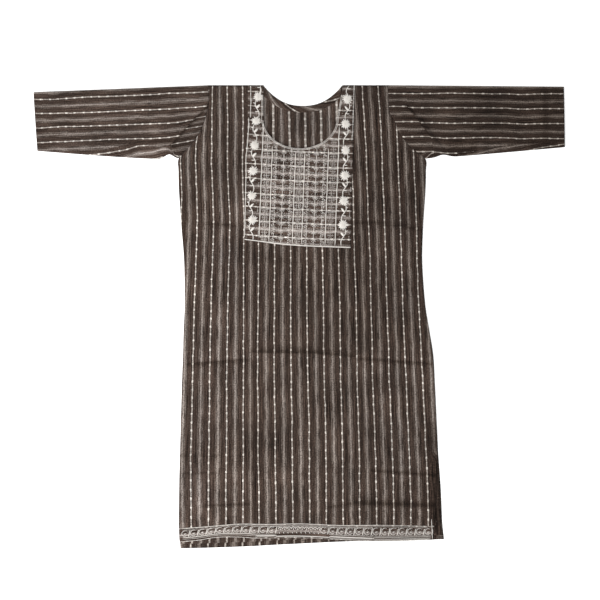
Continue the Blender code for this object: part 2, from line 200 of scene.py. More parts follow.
# Whole repeats added to a sleeve's stripe numbers, so that its yarns differ from the body's
LEFT_SLEEVE_YARNS = 20.0
RIGHT_SLEEVE_YARNS = 40.0

# Stripes. One repeat runs from one dotted line to the next, with a grey band midway.
# (height, x of the dotted lines numbered 1, 3, 4, 5, 8, 11, 12 and 15 from the left)
FRONT_STRIPES = (
    (0.0, -222.5, -150.9, -116.1, -83.5, 20.4, 123.0, 157.8, 262.2),
    (98.6, -223.5, -151.7, -116.7, -83.9, 19.7, 122.0, 156.6, 262.4),
    (180.6, -223.9, -150.8, -115.9, -85.9, 19.2, 121.7, 155.0, 258.9),
    (262.6, -221.8, -149.9, -116.5, -85.7, 18.5, 119.7, 152.1, 255.2),
    (344.6, -220.0, -150.1, -116.1, -86.9, 16.1, 117.0, 148.6, 251.3),
    (426.6, -218.4, -148.8, -115.9, -86.6, 14.8, 116.2, 147.6, 247.0),
    (508.6, -216.1, -147.9, -115.4, -85.5, 14.1, 115.2, 144.9, 242.7),
    (600.8, -212.6, -144.6, -115.6, -84.9, 13.8, 111.3, 143.5, 239.4),
    (672.6, -210.2, -143.6, -114.4, -85.1, 13.0, 109.9, 139.8, 238.2),
    (734.0, -211.4, -146.6, -117.3, -85.1, 12.7, 109.2, 137.7, 235.9),
    (796.0, -214.0, -148.7, -117.9, -85.1, 10.3, 104.5, 136.3, 232.7),
    (867.0, -212.4, -148.1, -116.3, -84.1, 8.8, 100.4, 132.4, 230.4),
    (949.0, -213.2, -149.3, -117.7, -85.1, 5.7, 95.3, 127.0, 225.5),
)
STRIPE_NUMBERS = (1, 3, 4, 5, 8, 11, 12, 15)
# (height, x of one dotted line, repeat)
BACK_STRIPES = ((0.0, -220.9, 35.4), (920.0, -217.7, 32.5))
HEM_TURN = 10.0  # depth of the back's turned hem, whose stripes do not meet those above it
HEM_TURN_SHIFT = 0.104


def mix(a, b, share):
    """The value that lies a share of the way from a to b."""
    return a + (b - a) * share


def smooth_step(share):
    """A share held between 0 and 1, and eased at both ends."""
    share = np.clip(share, 0.0, 1.0)
    return share * share * (3.0 - 2.0 * share)


def curve_through(table, column, at):
    """A smooth curve through one column of a table whose first column rises."""
    rows = np.array(table, float)
    knots, values = rows[:, 0], rows[:, column]
    before = np.maximum(np.arange(len(knots)) - 1, 0)
    after = np.minimum(np.arange(len(knots)) + 1, len(knots) - 1)
    slopes = (values[after] - values[before]) / (knots[after] - knots[before])
    at = np.asarray(at, float)
    row = np.clip(np.searchsorted(knots, at, side="right") - 1, 0, len(knots) - 2)
    step = knots[row + 1] - knots[row]
    share = np.clip((at - knots[row]) / step, 0.0, 1.0)
    square, cube = share**2, share**3
    return (
        (2 * cube - 3 * square + 1) * values[row]
        + (cube - 2 * square + share) * slopes[row] * step
        + (3 * square - 2 * cube) * values[row + 1]
        + (cube - square) * slopes[row + 1] * step
    )


def left_edge(height):
    """x of the body's left edge."""
    return -curve_through(BODY_SECTIONS, 1, height)


def right_edge(height):
    """x of the body's right edge, which is the back's where the side is slit."""
    return curve_through(BODY_SECTIONS, 2, height)


def front_right_edge(height):
    open_share = np.maximum(0.0, 1.0 - height / VENT_TOP)
    return right_edge(height) - VENT_SETBACK * open_share**VENT_CURVE


def fold_height(folds, x, height):
    """Soft ridges, troughs and tucks, each a little uneven along its length."""
    total = np.zeros(np.broadcast(x, height).shape)
    for x0, h0, x1, h1, left_half, right_half, rise in folds:
        run, climb = x1 - x0, h1 - h0
        long = math.hypot(run, climb)
        along = np.clip(((x - x0) * run + (height - h0) * climb) / long**2, 0.0, 1.0)
        away_x, away_h = x - x0 - along * run, height - h0 - along * climb
        side = run * (height - h0) - climb * (x - x0)
        half = np.where(side > 0.0, left_half, right_half)
        uneven = 0.86 + 0.14 * np.sin(along * long / 23.0 + x0)
        total = total + rise * uneven * np.exp(-(away_x**2 + away_h**2) / half**2)
    return total


WAVES = np.random.default_rng(5).uniform(-1.0, 1.0, (14, 4))


def ripple(x, height):
    """The faint unevenness of cloth that has been folded and worn."""
    total = 0.0
    for across, up, phase, weight in WAVES:
        total = total + weight * np.sin(across * x / 13.0 + up * height / 17.0 + 9.0 * phase)
    return 0.11 * total


def front_top(x, height):
    """Level of the front layer's outer face."""
    from_left = x - left_edge(height)
    from_right = front_right_edge(height) - x
    inside = smooth_step(from_left / EDGE_FADE) * smooth_step(from_right / EDGE_FADE)
    inside = inside * smooth_step((height - HEM_LINE + 8.0) / EDGE_FADE)
    inside = inside * smooth_step((LENGTH - height) / EDGE_FADE)
    folds = fold_height(FRONT_CREASES, x, height) + ripple(x, height) * inside
    sewn = np.minimum(np.minimum(from_left, from_right), LENGTH - height)
    rolled = 1.0 - np.clip(sewn / ROLL_REACH, 0.0, 1.0)
    lift = np.maximum(0.0, AIR * inside + folds * np.minimum(1.0, inside + 0.15))
    return FRONT_TOP + lift - ROLL * rolled**2.5


def front_neck(share):
    """The front neckline from left to right: straight sides and a round bowl."""
    side = LENGTH - NECK_SIDE_FOOT
    if share < NECK_SIDE_SHARE:
        return -NECK_HALF_WIDTH, LENGTH - side * share / NECK_SIDE_SHARE
    if share > 1.0 - NECK_SIDE_SHARE:
        up = (share - 1.0 + NECK_SIDE_SHARE) / NECK_SIDE_SHARE
        return NECK_HALF_WIDTH + NECK_RIGHT_LEAN * up, NECK_SIDE_FOOT + side * up
    turn = math.pi * (share - NECK_SIDE_SHARE) / (1.0 - 2.0 * NECK_SIDE_SHARE)
    return -NECK_HALF_WIDTH * math.cos(turn), NECK_SIDE_FOOT - NECK_ROUND * math.sin(turn)


def back_neck(share):
    """The back neckline from left to right."""
    across = 2.0 * share - 1.0
    depth = BACK_NECK_DEPTH * (1.0 - abs(across) ** BACK_NECK_POWER)
    return BACK_NECK_MIDDLE + BACK_NECK_HALF_WIDTH * across, LENGTH - depth


def spaced(start, end, coarse, fine=None, places=(), reach=20.0):
    """Positions from start to end, closer together near the given places."""
    fine = fine or coarse
    found = [start]
    while found[-1] < end:
        near = min((abs(found[-1] - p) for p in places), default=reach) / reach
        found.append(found[-1] + mix(fine, coarse, float(smooth_step(near))))
    found = np.array(found)
    return start + (found - start) * (end - start) / (found[-1] - start)


def columns_between(start, end, positions):
    """Columns between two given ones, at these x on the chest line, without the last."""
    return [tuple(mix(a, b, (x - start[0]) / (end[0] - start[0])) for a, b in zip(start, end))
            for x in positions[:-1]]


def front_columns():
    """Columns of the front's cloth, (x at the chest line, top x, top height), and the yoke's edges."""
    left = (float(left_edge(CHEST)), float(left_edge(LENGTH)), LENGTH)
    right = (float(right_edge(CHEST)), float(right_edge(LENGTH)), LENGTH)
    yoke_left, yoke_right = (*YOKE_LEFT, LENGTH), (*YOKE_RIGHT, LENGTH)
    neck_left = (LEFT_PRESS_FOLD, *front_neck(0.0))
    neck_right = (NECK_RIGHT_CHEST, *front_neck(1.0))
    fold = (RIGHT_PRESS_FOLD, RIGHT_FOLD_TOP, LENGTH)
    columns = columns_between(
        left, yoke_left, spaced(left[0], yoke_left[0], 5.5, 1.5, (left[0], LEFT_PRESS_FOLD), 14.0))
    first = len(columns)
    columns += columns_between(
        yoke_left, neck_left, spaced(yoke_left[0], neck_left[0], 3.5, 1.5, (LEFT_PRESS_FOLD,), 12.0))
    middle = spaced(LEFT_PRESS_FOLD, NECK_RIGHT_CHEST, 4.0, 1.5, (LEFT_PRESS_FOLD,), 14.0)
    for x in middle[:-1]:
        share = (x - LEFT_PRESS_FOLD) / (NECK_RIGHT_CHEST - LEFT_PRESS_FOLD)
        columns.append((x, *front_neck(share)))
    columns += columns_between(neck_right, yoke_right, spaced(neck_right[0], yoke_right[0], 4.0))
    last = len(columns)
    columns += columns_between(
        yoke_right, fold, spaced(yoke_right[0], fold[0], 5.0, 1.5, (RIGHT_PRESS_FOLD,), 14.0))
    columns += columns_between(
        fold, right, spaced(fold[0], right[0], 5.5, 1.5, (RIGHT_PRESS_FOLD, right[0]), 14.0))
    return columns + [right], first, last


def across(x_at_chest, left, right):
    """Columns spread between the edges of a row, with the two pressed folds kept upright."""
    chest_left, chest_right = float(left_edge(CHEST)), float(right_edge(CHEST))
    folds = (chest_left, LEFT_PRESS_FOLD, RIGHT_PRESS_FOLD, chest_right)
    return np.interp(x_at_chest, folds, (left, LEFT_PRESS_FOLD, RIGHT_PRESS_FOLD, right))


def front_row_height(x, row):
    """Height of a row of the front's cloth, which follows its hem, its border and the yoke's foot."""
    border_top = curve_through(BORDER_TOP, 1, x)
    in_border = mix(curve_through(FRONT_HEM, 1, x), border_top, (row - HEM_LINE) / BORDER_HEIGHT)
    settled = (border_top - BORDER_ROW) * smooth_step(1.0 - (row - BORDER_ROW) / HEM_SETTLE)
    foot = curve_through(YOKE_FOOT, 1, x) - YOKE_ROW
    near = np.exp(-(((row - YOKE_ROW) / YOKE_ROW_REACH) ** 2))
    return np.where(row <= BORDER_ROW, in_border, row + settled + foot * near)


def back_row_height(x, row):
    """Height of a row of the back's cloth, which follows its own hem."""
    return row + curve_through(BACK_HEM, 1, x) * smooth_step(1.0 - row / HEM_SETTLE)


def drift(x_at_chest, row):
    """How far a column lies to the left of a straight hang where the yoke's foot pulls on it."""
    span = CHEST - YOKE_ROW if row > YOKE_ROW else YOKE_DRIFT_DROP
    near = max(0.0, 1.0 - abs(row - YOKE_ROW) / span)
    return YOKE_DRIFT * near * smooth_step((YOKE_DRIFT_REACH - np.abs(x_at_chest)) / YOKE_DRIFT_FADE + 1.0)


def beside_armhole(x_at_chest, top_x, up):
    """x of columns above the chest line, where the outer ones swing with the armhole seams."""
    chest_left, chest_right = float(left_edge(CHEST)), float(right_edge(CHEST))
    level = mix(CHEST, LENGTH, up)
    left_swing = left_edge(level) - mix(chest_left, float(left_edge(LENGTH)), up)
    right_swing = right_edge(level) - mix(chest_right, float(right_edge(LENGTH)), up)
    by_left = (LEFT_PRESS_FOLD - x_at_chest) / (LEFT_PRESS_FOLD - chest_left)
    by_right = (x_at_chest - RIGHT_PRESS_FOLD) / (chest_right - RIGHT_PRESS_FOLD)
    swing = left_swing * np.maximum(0.0, by_left) + right_swing * np.maximum(0.0, by_right)
    return mix(x_at_chest, top_x, up) + swing


def body_grid(columns, rows, upper_rows, right_side, row_height):
    """x and height of a body panel's points, row by row from the hem up."""
    table = np.array(columns)
    grid = []
    for row in rows:
        x = across(table[:, 0], float(left_edge(row)), float(right_side(row)))
        x = x - drift(table[:, 0], row)
        grid.append((x, row_height(x, row)))
    for up in np.linspace(0.0, 1.0, upper_rows + 1):
        grid.append((beside_armhole(table[:, 0], table[:, 1], up), mix(CHEST, table[:, 2], up)))
    return np.array([g[0] for g in grid]), np.array([g[1] for g in grid])


def stripe_number(x, height):
    """Which dotted line a point of the front lies on, as a number that grows to the right."""
    knots = np.array([row[0] for row in FRONT_STRIPES])
    count = len(STRIPE_NUMBERS)
    lines = [np.interp(height, knots, [row[k + 1] for row in FRONT_STRIPES]) for k in range(count)]
    found = np.zeros(np.shape(x))
    for k in range(count - 1):
        share = (x - lines[k]) / (lines[k + 1] - lines[k])
        number = mix(STRIPE_NUMBERS[k], STRIPE_NUMBERS[k + 1], share)
        inside = (share >= 0.0) if k else np.ones(np.shape(x), bool)
        found = np.where(inside, number, found)
    return found


def thinner_lines(number, share=1.0):
    """Stripe numbers that pass faster over each dotted line, which leaves it thinner."""
    return number + 0.05 * np.sin(2.0 * math.pi * number) * share


def back_stripe_number(x, height):
    """The same for the back, whose lines are thinner by the hem."""
    knots = [row[0] for row in BACK_STRIPES]
    start = np.interp(height, knots, [row[1] for row in BACK_STRIPES])
    repeat = np.interp(height, knots, [row[2] for row in BACK_STRIPES])
    number = (x - start) / repeat
    number = thinner_lines(number, smooth_step((60.0 - height) / 20.0))
    # The strip that the side slit bares is plain
    bared = (x > front_right_edge(height) - 10.0) & (height < VENT_TOP + 10.0)
    return np.where(bared, 14.12 + 0.008 * (x - 260.0), number)


# Painted shade along the folds, and painted light and shade in soft patches: (start x, start height, end x,
# end height, reach to the left of that way, to the right, how much darker the cloth is painted there,
# lighter where it is minus)
FRONT_PAINTED_LIGHT_AND_SHADE = (
    (-232.0, 379.0, -102.0, 389.0, 1.2, 8.0, 0.52),
    (-232.0, 386.0, -122.0, 394.0, 12.0, 4.0, -0.16),
    (-102.0, 401.5, 37.0, 400.5, 9.0, 1.2, 0.55),
    (-90.0, 412.0, 50.0, 410.0, 22.0, 9.0, 0.12),
    (33.0, 399.5, 117.0, 392.5, 7.0, 1.4, 0.55),
    (117.0, 390.0, 273.0, 378.5, 3.0, 5.0, 0.5),
    (118.0, 365.0, 262.0, 352.0, 16.0, 16.0, -0.14),
    (108.0, 94.0, 279.0, 88.0, 8.5, 6.0, 0.62),
    (53.0, 84.0, 108.0, 92.5, 3.0, 3.0, 0.42),
    (143.0, 160.0, 281.0, 150.0, 4.5, 4.0, 0.55),
    (-199.0, 88.0, -102.0, 91.5, 2.6, 3.0, 0.5),
    (-246.0, 191.0, -158.0, 189.5, 4.5, 4.5, 0.3),
    (-240.0, 154.0, -170.0, 155.0, 2.6, 2.6, 0.4),
    (-215.0, 70.0, -212.0, 140.0, 30.0, 30.0, -0.14),
    (-114.0, 628.0, -112.0, 392.0, 12.0, 12.0, 0.16),
    (120.0, 615.0, 123.0, 398.0, 12.0, 12.0, 0.15),
    (-97.0, 385.0, -97.0, 60.0, 11.0, 11.0, 0.2),
    (275.0, 262.0, 283.0, 56.0, 24.0, 18.0, 0.34),
    (5.0, 526.0, 88.0, 524.0, 12.0, 14.0, 0.18),
    (-75.0, 596.0, -27.0, 586.0, 10.0, 10.0, 0.18),
    (-215.0, 740.0, -212.0, 470.0, 45.0, 45.0, 0.14),
    (-193.0, 667.0, -129.0, 661.0, 3.4, 4.0, 0.5),
    (114.0, 669.0, 193.0, 664.5, 2.6, 4.0, 0.5),
    (193.0, 664.5, 253.0, 653.0, 2.6, 4.0, 0.52),
    (176.0, 721.0, 250.0, 716.0, 9.0, 9.0, 0.24),
    (-164.0, 926.0, -127.0, 922.0, 9.0, 9.0, 0.2),
    (-164.0, 845.0, -138.0, 842.0, 6.0, 6.0, 0.2),
    (-156.0, 625.0, -154.0, 580.0, 26.0, 26.0, -0.32),
    (215.0, 525.0, 216.0, 480.0, 26.0, 26.0, -0.3),
    (214.0, 270.0, 216.0, 140.0, 34.0, 34.0, -0.24),
    (-214.0, 168.0, -212.0, 90.0, 28.0, 28.0, -0.2),
    (-30.0, 112.0, -28.0, 75.0, 24.0, 24.0, -0.18),
    (31.0, 530.0, 33.0, 330.0, 26.0, 26.0, -0.1),
    (-154.0, 220.0, -152.0, 125.0, 24.0, 24.0, 0.18),
    (-92.0, 322.0, -90.0, 150.0, 26.0, 26.0, 0.12),
    (92.0, 575.0, 94.0, 530.0, 24.0, 24.0, 0.12),
)
# The same for the sleeves: painted shade along their folds, and painted light and shade in soft patches
LEFT_SLEEVE_PAINTED_LIGHT_AND_SHADE = (
    (-187.0, 909.0, -265.0, 826.0, 3.4, 2.6, 0.6),
    (-545.0, 940.0, -538.0, 812.0, 40.0, 40.0, 0.12),
    (-500.0, 824.0, -350.0, 828.0, 20.0, 20.0, -0.14),
    (-265.0, 826.0, -252.0, 818.0, 3.5, 3.5, 0.6),
    (-361.0, 828.0, -262.0, 835.0, 4.0, 3.0, 0.3),
    (-410.0, 812.0, -361.0, 828.0, 2.0, 2.0, 0.2),
    (-342.0, 804.5, -272.0, 819.0, 6.0, 5.0, -0.55),
    (-300.0, 831.0, -262.0, 834.0, 6.0, 4.0, 0.25),
)
RIGHT_SLEEVE_PAINTED_LIGHT_AND_SHADE = (
    (218.0, 909.0, 272.0, 838.0, 3.0, 2.2, 0.55),
    (470.0, 812.0, 365.0, 815.0, 26.0, 26.0, -0.36),
    (300.0, 822.0, 362.0, 812.0, 14.0, 14.0, 0.25),
    (330.0, 806.0, 440.0, 826.0, 3.5, 2.0, 0.3),
    (501.0, 944.0, 503.0, 828.0, 7.0, 7.0, 0.26),
    (427.0, 944.0, 428.0, 830.0, 6.0, 6.0, 0.12),
)


def painted_light_and_shade(lines, x, height):
    """The painted shade along given lines, and the painted light of those with a minus depth, as a factor
    on the cloth: 1 where nothing is painted.
    """
    left = 1.0
    for x0, h0, x1, h1, left_reach, right_reach, depth in lines:
        run, climb = x1 - x0, h1 - h0
        long = math.hypot(run, climb)
        along = ((x - x0) * run + (height - h0) * climb) / long
        side = (run * (height - h0) - climb * (x - x0)) / long
        fade = smooth_step((along + 4.0) / 8.0) * smooth_step((long - along + 4.0) / 8.0)
        reach = np.where(side > 0.0, left_reach, right_reach)
        left = left * (1.0 - depth * fade * np.exp(-((side / reach) ** 2)))
    return left


def front_painted_light_and_shade(x, height):
    """Painted light and shade on the front: palest down its left side and darker above the waist on the
    right, as the light falls off, with the painted shade of its folds.
    """
    # Painted light falling off towards the right, and painted shade above the waist on the right
    paler = 1.01 - 0.12 * smooth_step((x + 118.0) / 30.0)
    paler = paler * (1.0 - 0.13 * smooth_step((height - 380.0) / 30.0) * smooth_step((x + 60.0) / 60.0))
    return paler * painted_light_and_shade(FRONT_PAINTED_LIGHT_AND_SHADE, x, height)


def left_sleeve_painted_light(x, height):
    """The left sleeve is painted a little paler, as painted light, with painted shade along its folds."""
    return 1.08 * painted_light_and_shade(LEFT_SLEEVE_PAINTED_LIGHT_AND_SHADE, x, height)


def right_sleeve_painted_shade(x, height):
    """Painted shade on the right sleeve: darker, and more so towards its cuff, with painted shade along its
    folds.
    """
    return (0.71 - 0.13 * smooth_step((x - 230.0) / 200.0)) * painted_light_and_shade(RIGHT_SLEEVE_PAINTED_LIGHT_AND_SHADE, x, height)


def place(x, height, level):
    """Points of the frame, in metres."""
    x, height, level = np.broadcast_arrays(x, height, level)
    return np.stack([x, height - LENGTH / 2.0, level], -1) * MM


def mesh_object(name, points, faces, uv, material, shade=None):
    """A smooth mesh with the cloth's own coordinates, riding on the tunic."""
    mesh = bpy.data.meshes.new(name)
    mesh.from_pydata(points.reshape(-1, 3).tolist(), [], faces)
    loops = np.empty(len(mesh.loops), np.int64)
    mesh.loops.foreach_get("vertex_index", loops)
    uv = uv.reshape(-1, 2)
    if len(uv) != len(loops):
        uv = uv[loops]
    layer = mesh.uv_layers.new(name="cloth")
    layer.data.foreach_set("uv", uv.astype(np.float32).ravel())
    if shade is not None:
        attribute = mesh.attributes.new("shade", "FLOAT", "POINT")
        attribute.data.foreach_set("value", np.asarray(shade, np.float32).ravel())
    mesh.shade_smooth()
    mesh.materials.append(material)
    made = bpy.data.objects.new(name, mesh)
    bpy.context.scene.collection.objects.link(made)
    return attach(made, "root")


def grid_faces(rows, across_count, closed=False):
    """Quads between the rows of a grid, facing up where the rows climb."""
    last = across_count if closed else across_count - 1
    r, c = np.meshgrid(np.arange(rows - 1), np.arange(last), indexing="ij")
    beside = (c + 1) % across_count
    corners = (r * across_count + c, r * across_count + beside,
               (r + 1) * across_count + beside, (r + 1) * across_count + c)
    return np.stack([k.ravel() for k in corners], -1).tolist()


def give_thickness(cloth, thickness):
    """Gives cloth a body below its outer face."""
    shell = cloth.modifiers.new("thickness", "SOLIDIFY")
    shell.thickness = thickness * MM
    shell.offset = -1.0
    shell.use_even_offset = False


def flat_area(x, height):
    """Area of a grid of points on the flat, in square metres."""
    a = x[1:, 1:] - x[:-1, :-1], height[1:, 1:] - height[:-1, :-1]
    b = x[1:, :-1] - x[:-1, 1:], height[1:, :-1] - height[:-1, 1:]
    return float(np.abs(a[0] * b[1] - a[1] * b[0]).sum()) / 2.0 * MM * MM


def lay_cloth(name, x, height, level, uv, cotton, shade, thickness=CLOTH):
    """A flat piece of cloth, and its area on the flat."""
    made = mesh_object(name, place(x, height, level), grid_faces(*x.shape), uv, cotton, shade)
    give_thickness(made, thickness)
    return made, flat_area(x, height)


def declare(cloth, node, area, with_pieces=()):
    """Hides the solid whose place the cloth takes."""
    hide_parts(node)


# Materials


def linear(shade):
    """An sRGB hex colour as linear light."""
    parts = (int(shade[at:at + 2], 16) / 255.0 for at in (0, 2, 4))
    return tuple(c / 12.92 if c <= 0.04045 else ((c + 0.055) / 1.055) ** 2.4 for c in parts) + (1.0,)


def new_material(name):
    """A material, a function that adds a node and gives one output, and one that sets the shader."""
    material = bpy.data.materials.new(name)
    material.use_nodes = True
    tree = material.node_tree

    def fill(sockets, values):
        for socket, value in zip(sockets, values):
            if isinstance(value, bpy.types.NodeSocket):
                tree.links.new(value, socket)
            elif value is not None:
                socket.default_value = value

    def add(kind, *inputs, out=0, **settings):
        made = tree.nodes.new("ShaderNode" + kind)
        for key, value in settings.items():
            setattr(made, key, value)
        fill(made.inputs, inputs)
        return made.outputs[out]

    def coat(**looks):
        shader = tree.nodes["Principled BSDF"].inputs
        fill([shader[key.replace("_", " ")] for key in looks], looks.values())

    return material, add, coat


SOFT = {"interpolation_type": "SMOOTHSTEP"}
# How uneven the cotton is: patches to a repeat of 35 mm across, patches to a millimetre along, detail
COTTON_UNEVENNESS = {
    "wander": (0.9, 0.03, 2.0),  # lines drift a little within 39 mm by 33 mm, as threads do once washed
    "row": (0.14, 0.009, 2.0),  # rows of knots rise and fall over 250 mm by 110 mm
    "bold": (2.0, 0.05, 2.0),  # bolder and weaker runs of knots, 17 mm by 20 mm
    "streak": (34.0, 0.012, 4.0),  # single yarns, drawn 1 mm wide and 83 mm long so that they show
    "patch": (7.0, 0.035, 3.0),  # bundles of yarn, 5 mm by 29 mm
    "worn": (0.5, 0.011, 3.0),  # large worn patches, 70 mm by 91 mm
    "grain": (14.0, 0.4, 4.0),  # fuzz, 2.5 mm each way, as coarse as it needs to be to show
    "swell": (2.0, 0.045, 3.0),  # the bands swell and thin within 17 mm by 22 mm
    "lint": (34.0, 0.42, 1.0),  # specks of lint, 1 mm by 2.4 mm
}
KNOT_DRAW = 0.0002  # how much closer the rows of knots draw for each millimetre up
SLUB_BLUR = 0.012  # half the soft edge of a slub line, as a share of a repeat
# A plain weave with a thread every 0.6 mm, twice as coarse as the real one so that it shows
WEAVE_ALONG = 10.5  # radians to a millimetre
WEAVE_ACROSS = 380.0  # radians to a repeat of 35 mm
FLOSS_TURN = 14.0  # radians to a millimetre: a thread of floss every 0.45 mm


def handloom_cotton(name, slub_half, knot_more, knot_pitch, slub_low, slub_high, band_full=1.0):
    """Handloom cotton, woven in stripes and washed soft: matt and a little fuzzy, with hardly any shine.

    Dotted off-white slub lines run over a dark brown ground, with a soft grey band midway between them.
    slub_half is half the width of a slub line as a share of a repeat, and knot_more is what its knots add
    to that. knot_pitch is in millimetres at the hem. slub_low and slub_high are a slub line's colours
    between its knots and on them, and band_full is how strongly the grey bands cover the ground.
    """
    material, add, coat = new_material(name)
    uv = add("UVMap", uv_map="cloth")
    number = add("SeparateXYZ", uv, out=0)
    along = add("SeparateXYZ", uv, out=1)
    uneven = {}
    for use, (to_a_repeat, to_a_millimetre, detail) in COTTON_UNEVENNESS.items():
        spot = add("VectorMath", uv, (to_a_repeat, to_a_millimetre, 0.0), operation="MULTIPLY")
        uneven[use] = add("TexNoise", spot, None, 1.0, detail, 0.6, noise_dimensions="2D")
    wander = add("Math", uneven["wander"], 0.07, -0.035, operation="MULTIPLY_ADD")
    number = add("Math", number, wander, operation="ADD")
    # Each line and each band has a number from 0 to 1 of its own, the same all the way along
    line_own = add("TexWhiteNoise", None, add("Math", number, operation="ROUND"), noise_dimensions="1D")
    band_own = add("TexWhiteNoise", None, add("Math", number, operation="FLOOR"), noise_dimensions="1D")
    from_line = add("Math", number, 0.5, operation="PINGPONG")
    band_middle = add("Math", band_own, 0.03, 0.485, operation="MULTIPLY_ADD")
    from_band = add("Math", add("Math", number, operation="FRACT"), band_middle, operation="SUBTRACT")
    from_band = add("Math", from_band, operation="ABSOLUTE")

    # Knots in the slub thread, in nearly level rows that draw closer towards the shoulders
    closer = add("Math", along, KNOT_DRAW, 1.0, operation="MULTIPLY_ADD")
    row = add("Math", add("Math", along, knot_pitch, operation="DIVIDE"), closer, operation="MULTIPLY")
    row = add("Math", line_own, 0.14, row, operation="MULTIPLY_ADD")
    row = add("Math", uneven["row"], 1.2, row, operation="MULTIPLY_ADD")
    knot = add("MapRange", add("Math", row, 0.5, operation="PINGPONG"), 0.19, 0.07, **SOFT)
    bold = add("MapRange", uneven["bold"], 0.3, 0.6, 0.6, 1.0, **SOFT)
    knot = add("Math", knot, bold, operation="MULTIPLY")
    half = add("Math", knot, knot_more, slub_half, operation="MULTIPLY_ADD")
    outer = add("Math", half, SLUB_BLUR, operation="ADD")
    inner = add("Math", half, SLUB_BLUR, operation="SUBTRACT")
    slub = add("MapRange", from_line, outer, inner, **SOFT)

    # Dark brown ground, streaked where single yarns took the dye less
    streak = add("MapRange", uneven["streak"], 0.38, 0.62, **SOFT)
    patch = add("MapRange", uneven["patch"], 0.38, 0.64, **SOFT)
    colour = add("MixRGB", streak, linear("1a120d"), linear("493c35"))
    # A paler thread along both edges of a band, and grey fuzz about it
    from_edge = add("Math", add("Math", from_band, 0.135, operation="SUBTRACT"), operation="ABSOLUTE")
    edge = add("MapRange", from_edge, 0.035, 0.012, **SOFT)
    edge = add("Math", edge, add("MapRange", patch, 0.0, 1.0, 0.2, 1.0, **SOFT), operation="MULTIPLY")
    colour = add("MixRGB", edge, colour, linear("5c534d"))
    fuzz = add("MapRange", from_band, 0.17, 0.10, 0.0, 0.7, **SOFT)
    fuzz = add("Math", fuzz, patch, operation="MULTIPLY")
    colour = add("MixRGB", fuzz, colour, linear("625953"))
    # The grey bands are thick soft yarns, uneven in width
    reach = add("Math", uneven["swell"], 0.055, 0.012, operation="MULTIPLY_ADD")
    reach = add("Math", band_own, 0.012, reach, operation="MULTIPLY_ADD")
    outer = add("Math", reach, 0.03, operation="ADD")
    inner = add("Math", reach, 0.012, operation="SUBTRACT")
    cover = add("MapRange", uneven["grain"], 0.2, 0.5, 0.72 * band_full, band_full, **SOFT)
    band = add("Math", add("MapRange", from_band, outer, inner, **SOFT), cover, operation="MULTIPLY")
    colour = add("MixRGB", band, colour, add("MixRGB", streak, linear("6c635d"), linear("867d77")))
    colour = add("MixRGB", slub, colour, add("MixRGB", knot, linear(slub_low), linear(slub_high)))
    lint = add("MapRange", uneven["lint"], 0.735, 0.79, 0.0, 0.3, **SOFT)
    colour = add("MixRGB", lint, colour, linear("968e86"))

    # The shade attribute, mostly painted shade and painted light, takes less from the smooth slub thread
    # than from the fuzzy ground
    taken = add("Math", slub, -0.55, 1.0, operation="MULTIPLY_ADD")
    shade = add("Math", add("Attribute", attribute_name="shade", out=2), taken, operation="POWER")
    fuzzy = add("Math", uneven["grain"], 2.8, -0.4, operation="MULTIPLY_ADD")
    rubbed = add("Math", uneven["worn"], 1.3, 0.35, operation="MULTIPLY_ADD")
    mottled_and_painted_shade = add("Math", add("Math", fuzzy, rubbed, operation="MULTIPLY"), shade, operation="MULTIPLY")
    colour = add("VectorMath", colour, mottled_and_painted_shade, operation="MULTIPLY")
    # Where shade is painted on it the cloth turns a little browner too, and greyer where the attribute
    # paints it paler; soiled holds that painted shade, capped
    soiled = add("Math", shade, 1.35, operation="MINIMUM")
    green = add("Math", soiled, 0.1, operation="POWER")
    blue = add("Math", soiled, 0.2, operation="POWER")
    colour = add("VectorMath", colour, add("CombineXYZ", 1.0, green, blue), operation="MULTIPLY")

    # The weave lies low, and the slub thread and its knots stand up from it
    threads = add("Math", add("Math", along, WEAVE_ALONG, operation="MULTIPLY"), operation="SINE")
    picks = add("Math", add("Math", number, WEAVE_ACROSS, operation="MULTIPLY"), operation="SINE")
    weave = add("Math", threads, picks, operation="MULTIPLY")
    knotted = add("Math", slub, knot, operation="MULTIPLY")
    height = 0.0
    for part, rise in ((weave, 0.12), (slub, 0.6), (knotted, 0.7), (uneven["grain"], 0.5)):
        height = add("Math", part, rise, height, operation="MULTIPLY_ADD")
    coat(Base_Color=colour, Normal=add("Bump", 0.6, 0.0004, None, height), Roughness=0.95,
         Specular_IOR_Level=0.04, Sheen_Weight=0.03, Sheen_Roughness=0.7)
    return material


def satin_floss(name, low, high):
    """Cotton floss in satin stitch: close smooth threads with a low, broad shine, soiled in places.

    low and high are the colours of its dullest and palest parts.
    """
    material, add, coat = new_material(name)
    uv = add("UVMap", uv_map="cloth")
    # Soil in spots of 2 mm along the stitching and 0.7 mm across it
    spot = add("VectorMath", uv, (0.5, 1.5, 0.0), operation="MULTIPLY")
    soil = add("TexNoise", spot, None, 1.0, 2.0, noise_dimensions="2D")
    colour = add("MixRGB", soil, linear(low), linear(high))
    run = add("Math", add("SeparateXYZ", uv, out=0), FLOSS_TURN, operation="MULTIPLY")
    ridge = add("Math", run, operation="SINE")
    coat(Base_Color=colour, Normal=add("Bump", 0.5, 0.0003, None, ridge), Roughness=0.6,
         Specular_IOR_Level=0.3, Sheen_Weight=0.1)
    return material


def smooth_paper(name):
    """Smooth white paper, flat and matt.

    It is lit a little from below, so that the thin cloth throws hardly any shadow on it.
    """
    material, _, coat = new_material(name)
    coat(Base_Color=linear("fafafa"), Roughness=0.9, Emission_Color=linear("ffffff"), Emission_Strength=0.3)
    return material


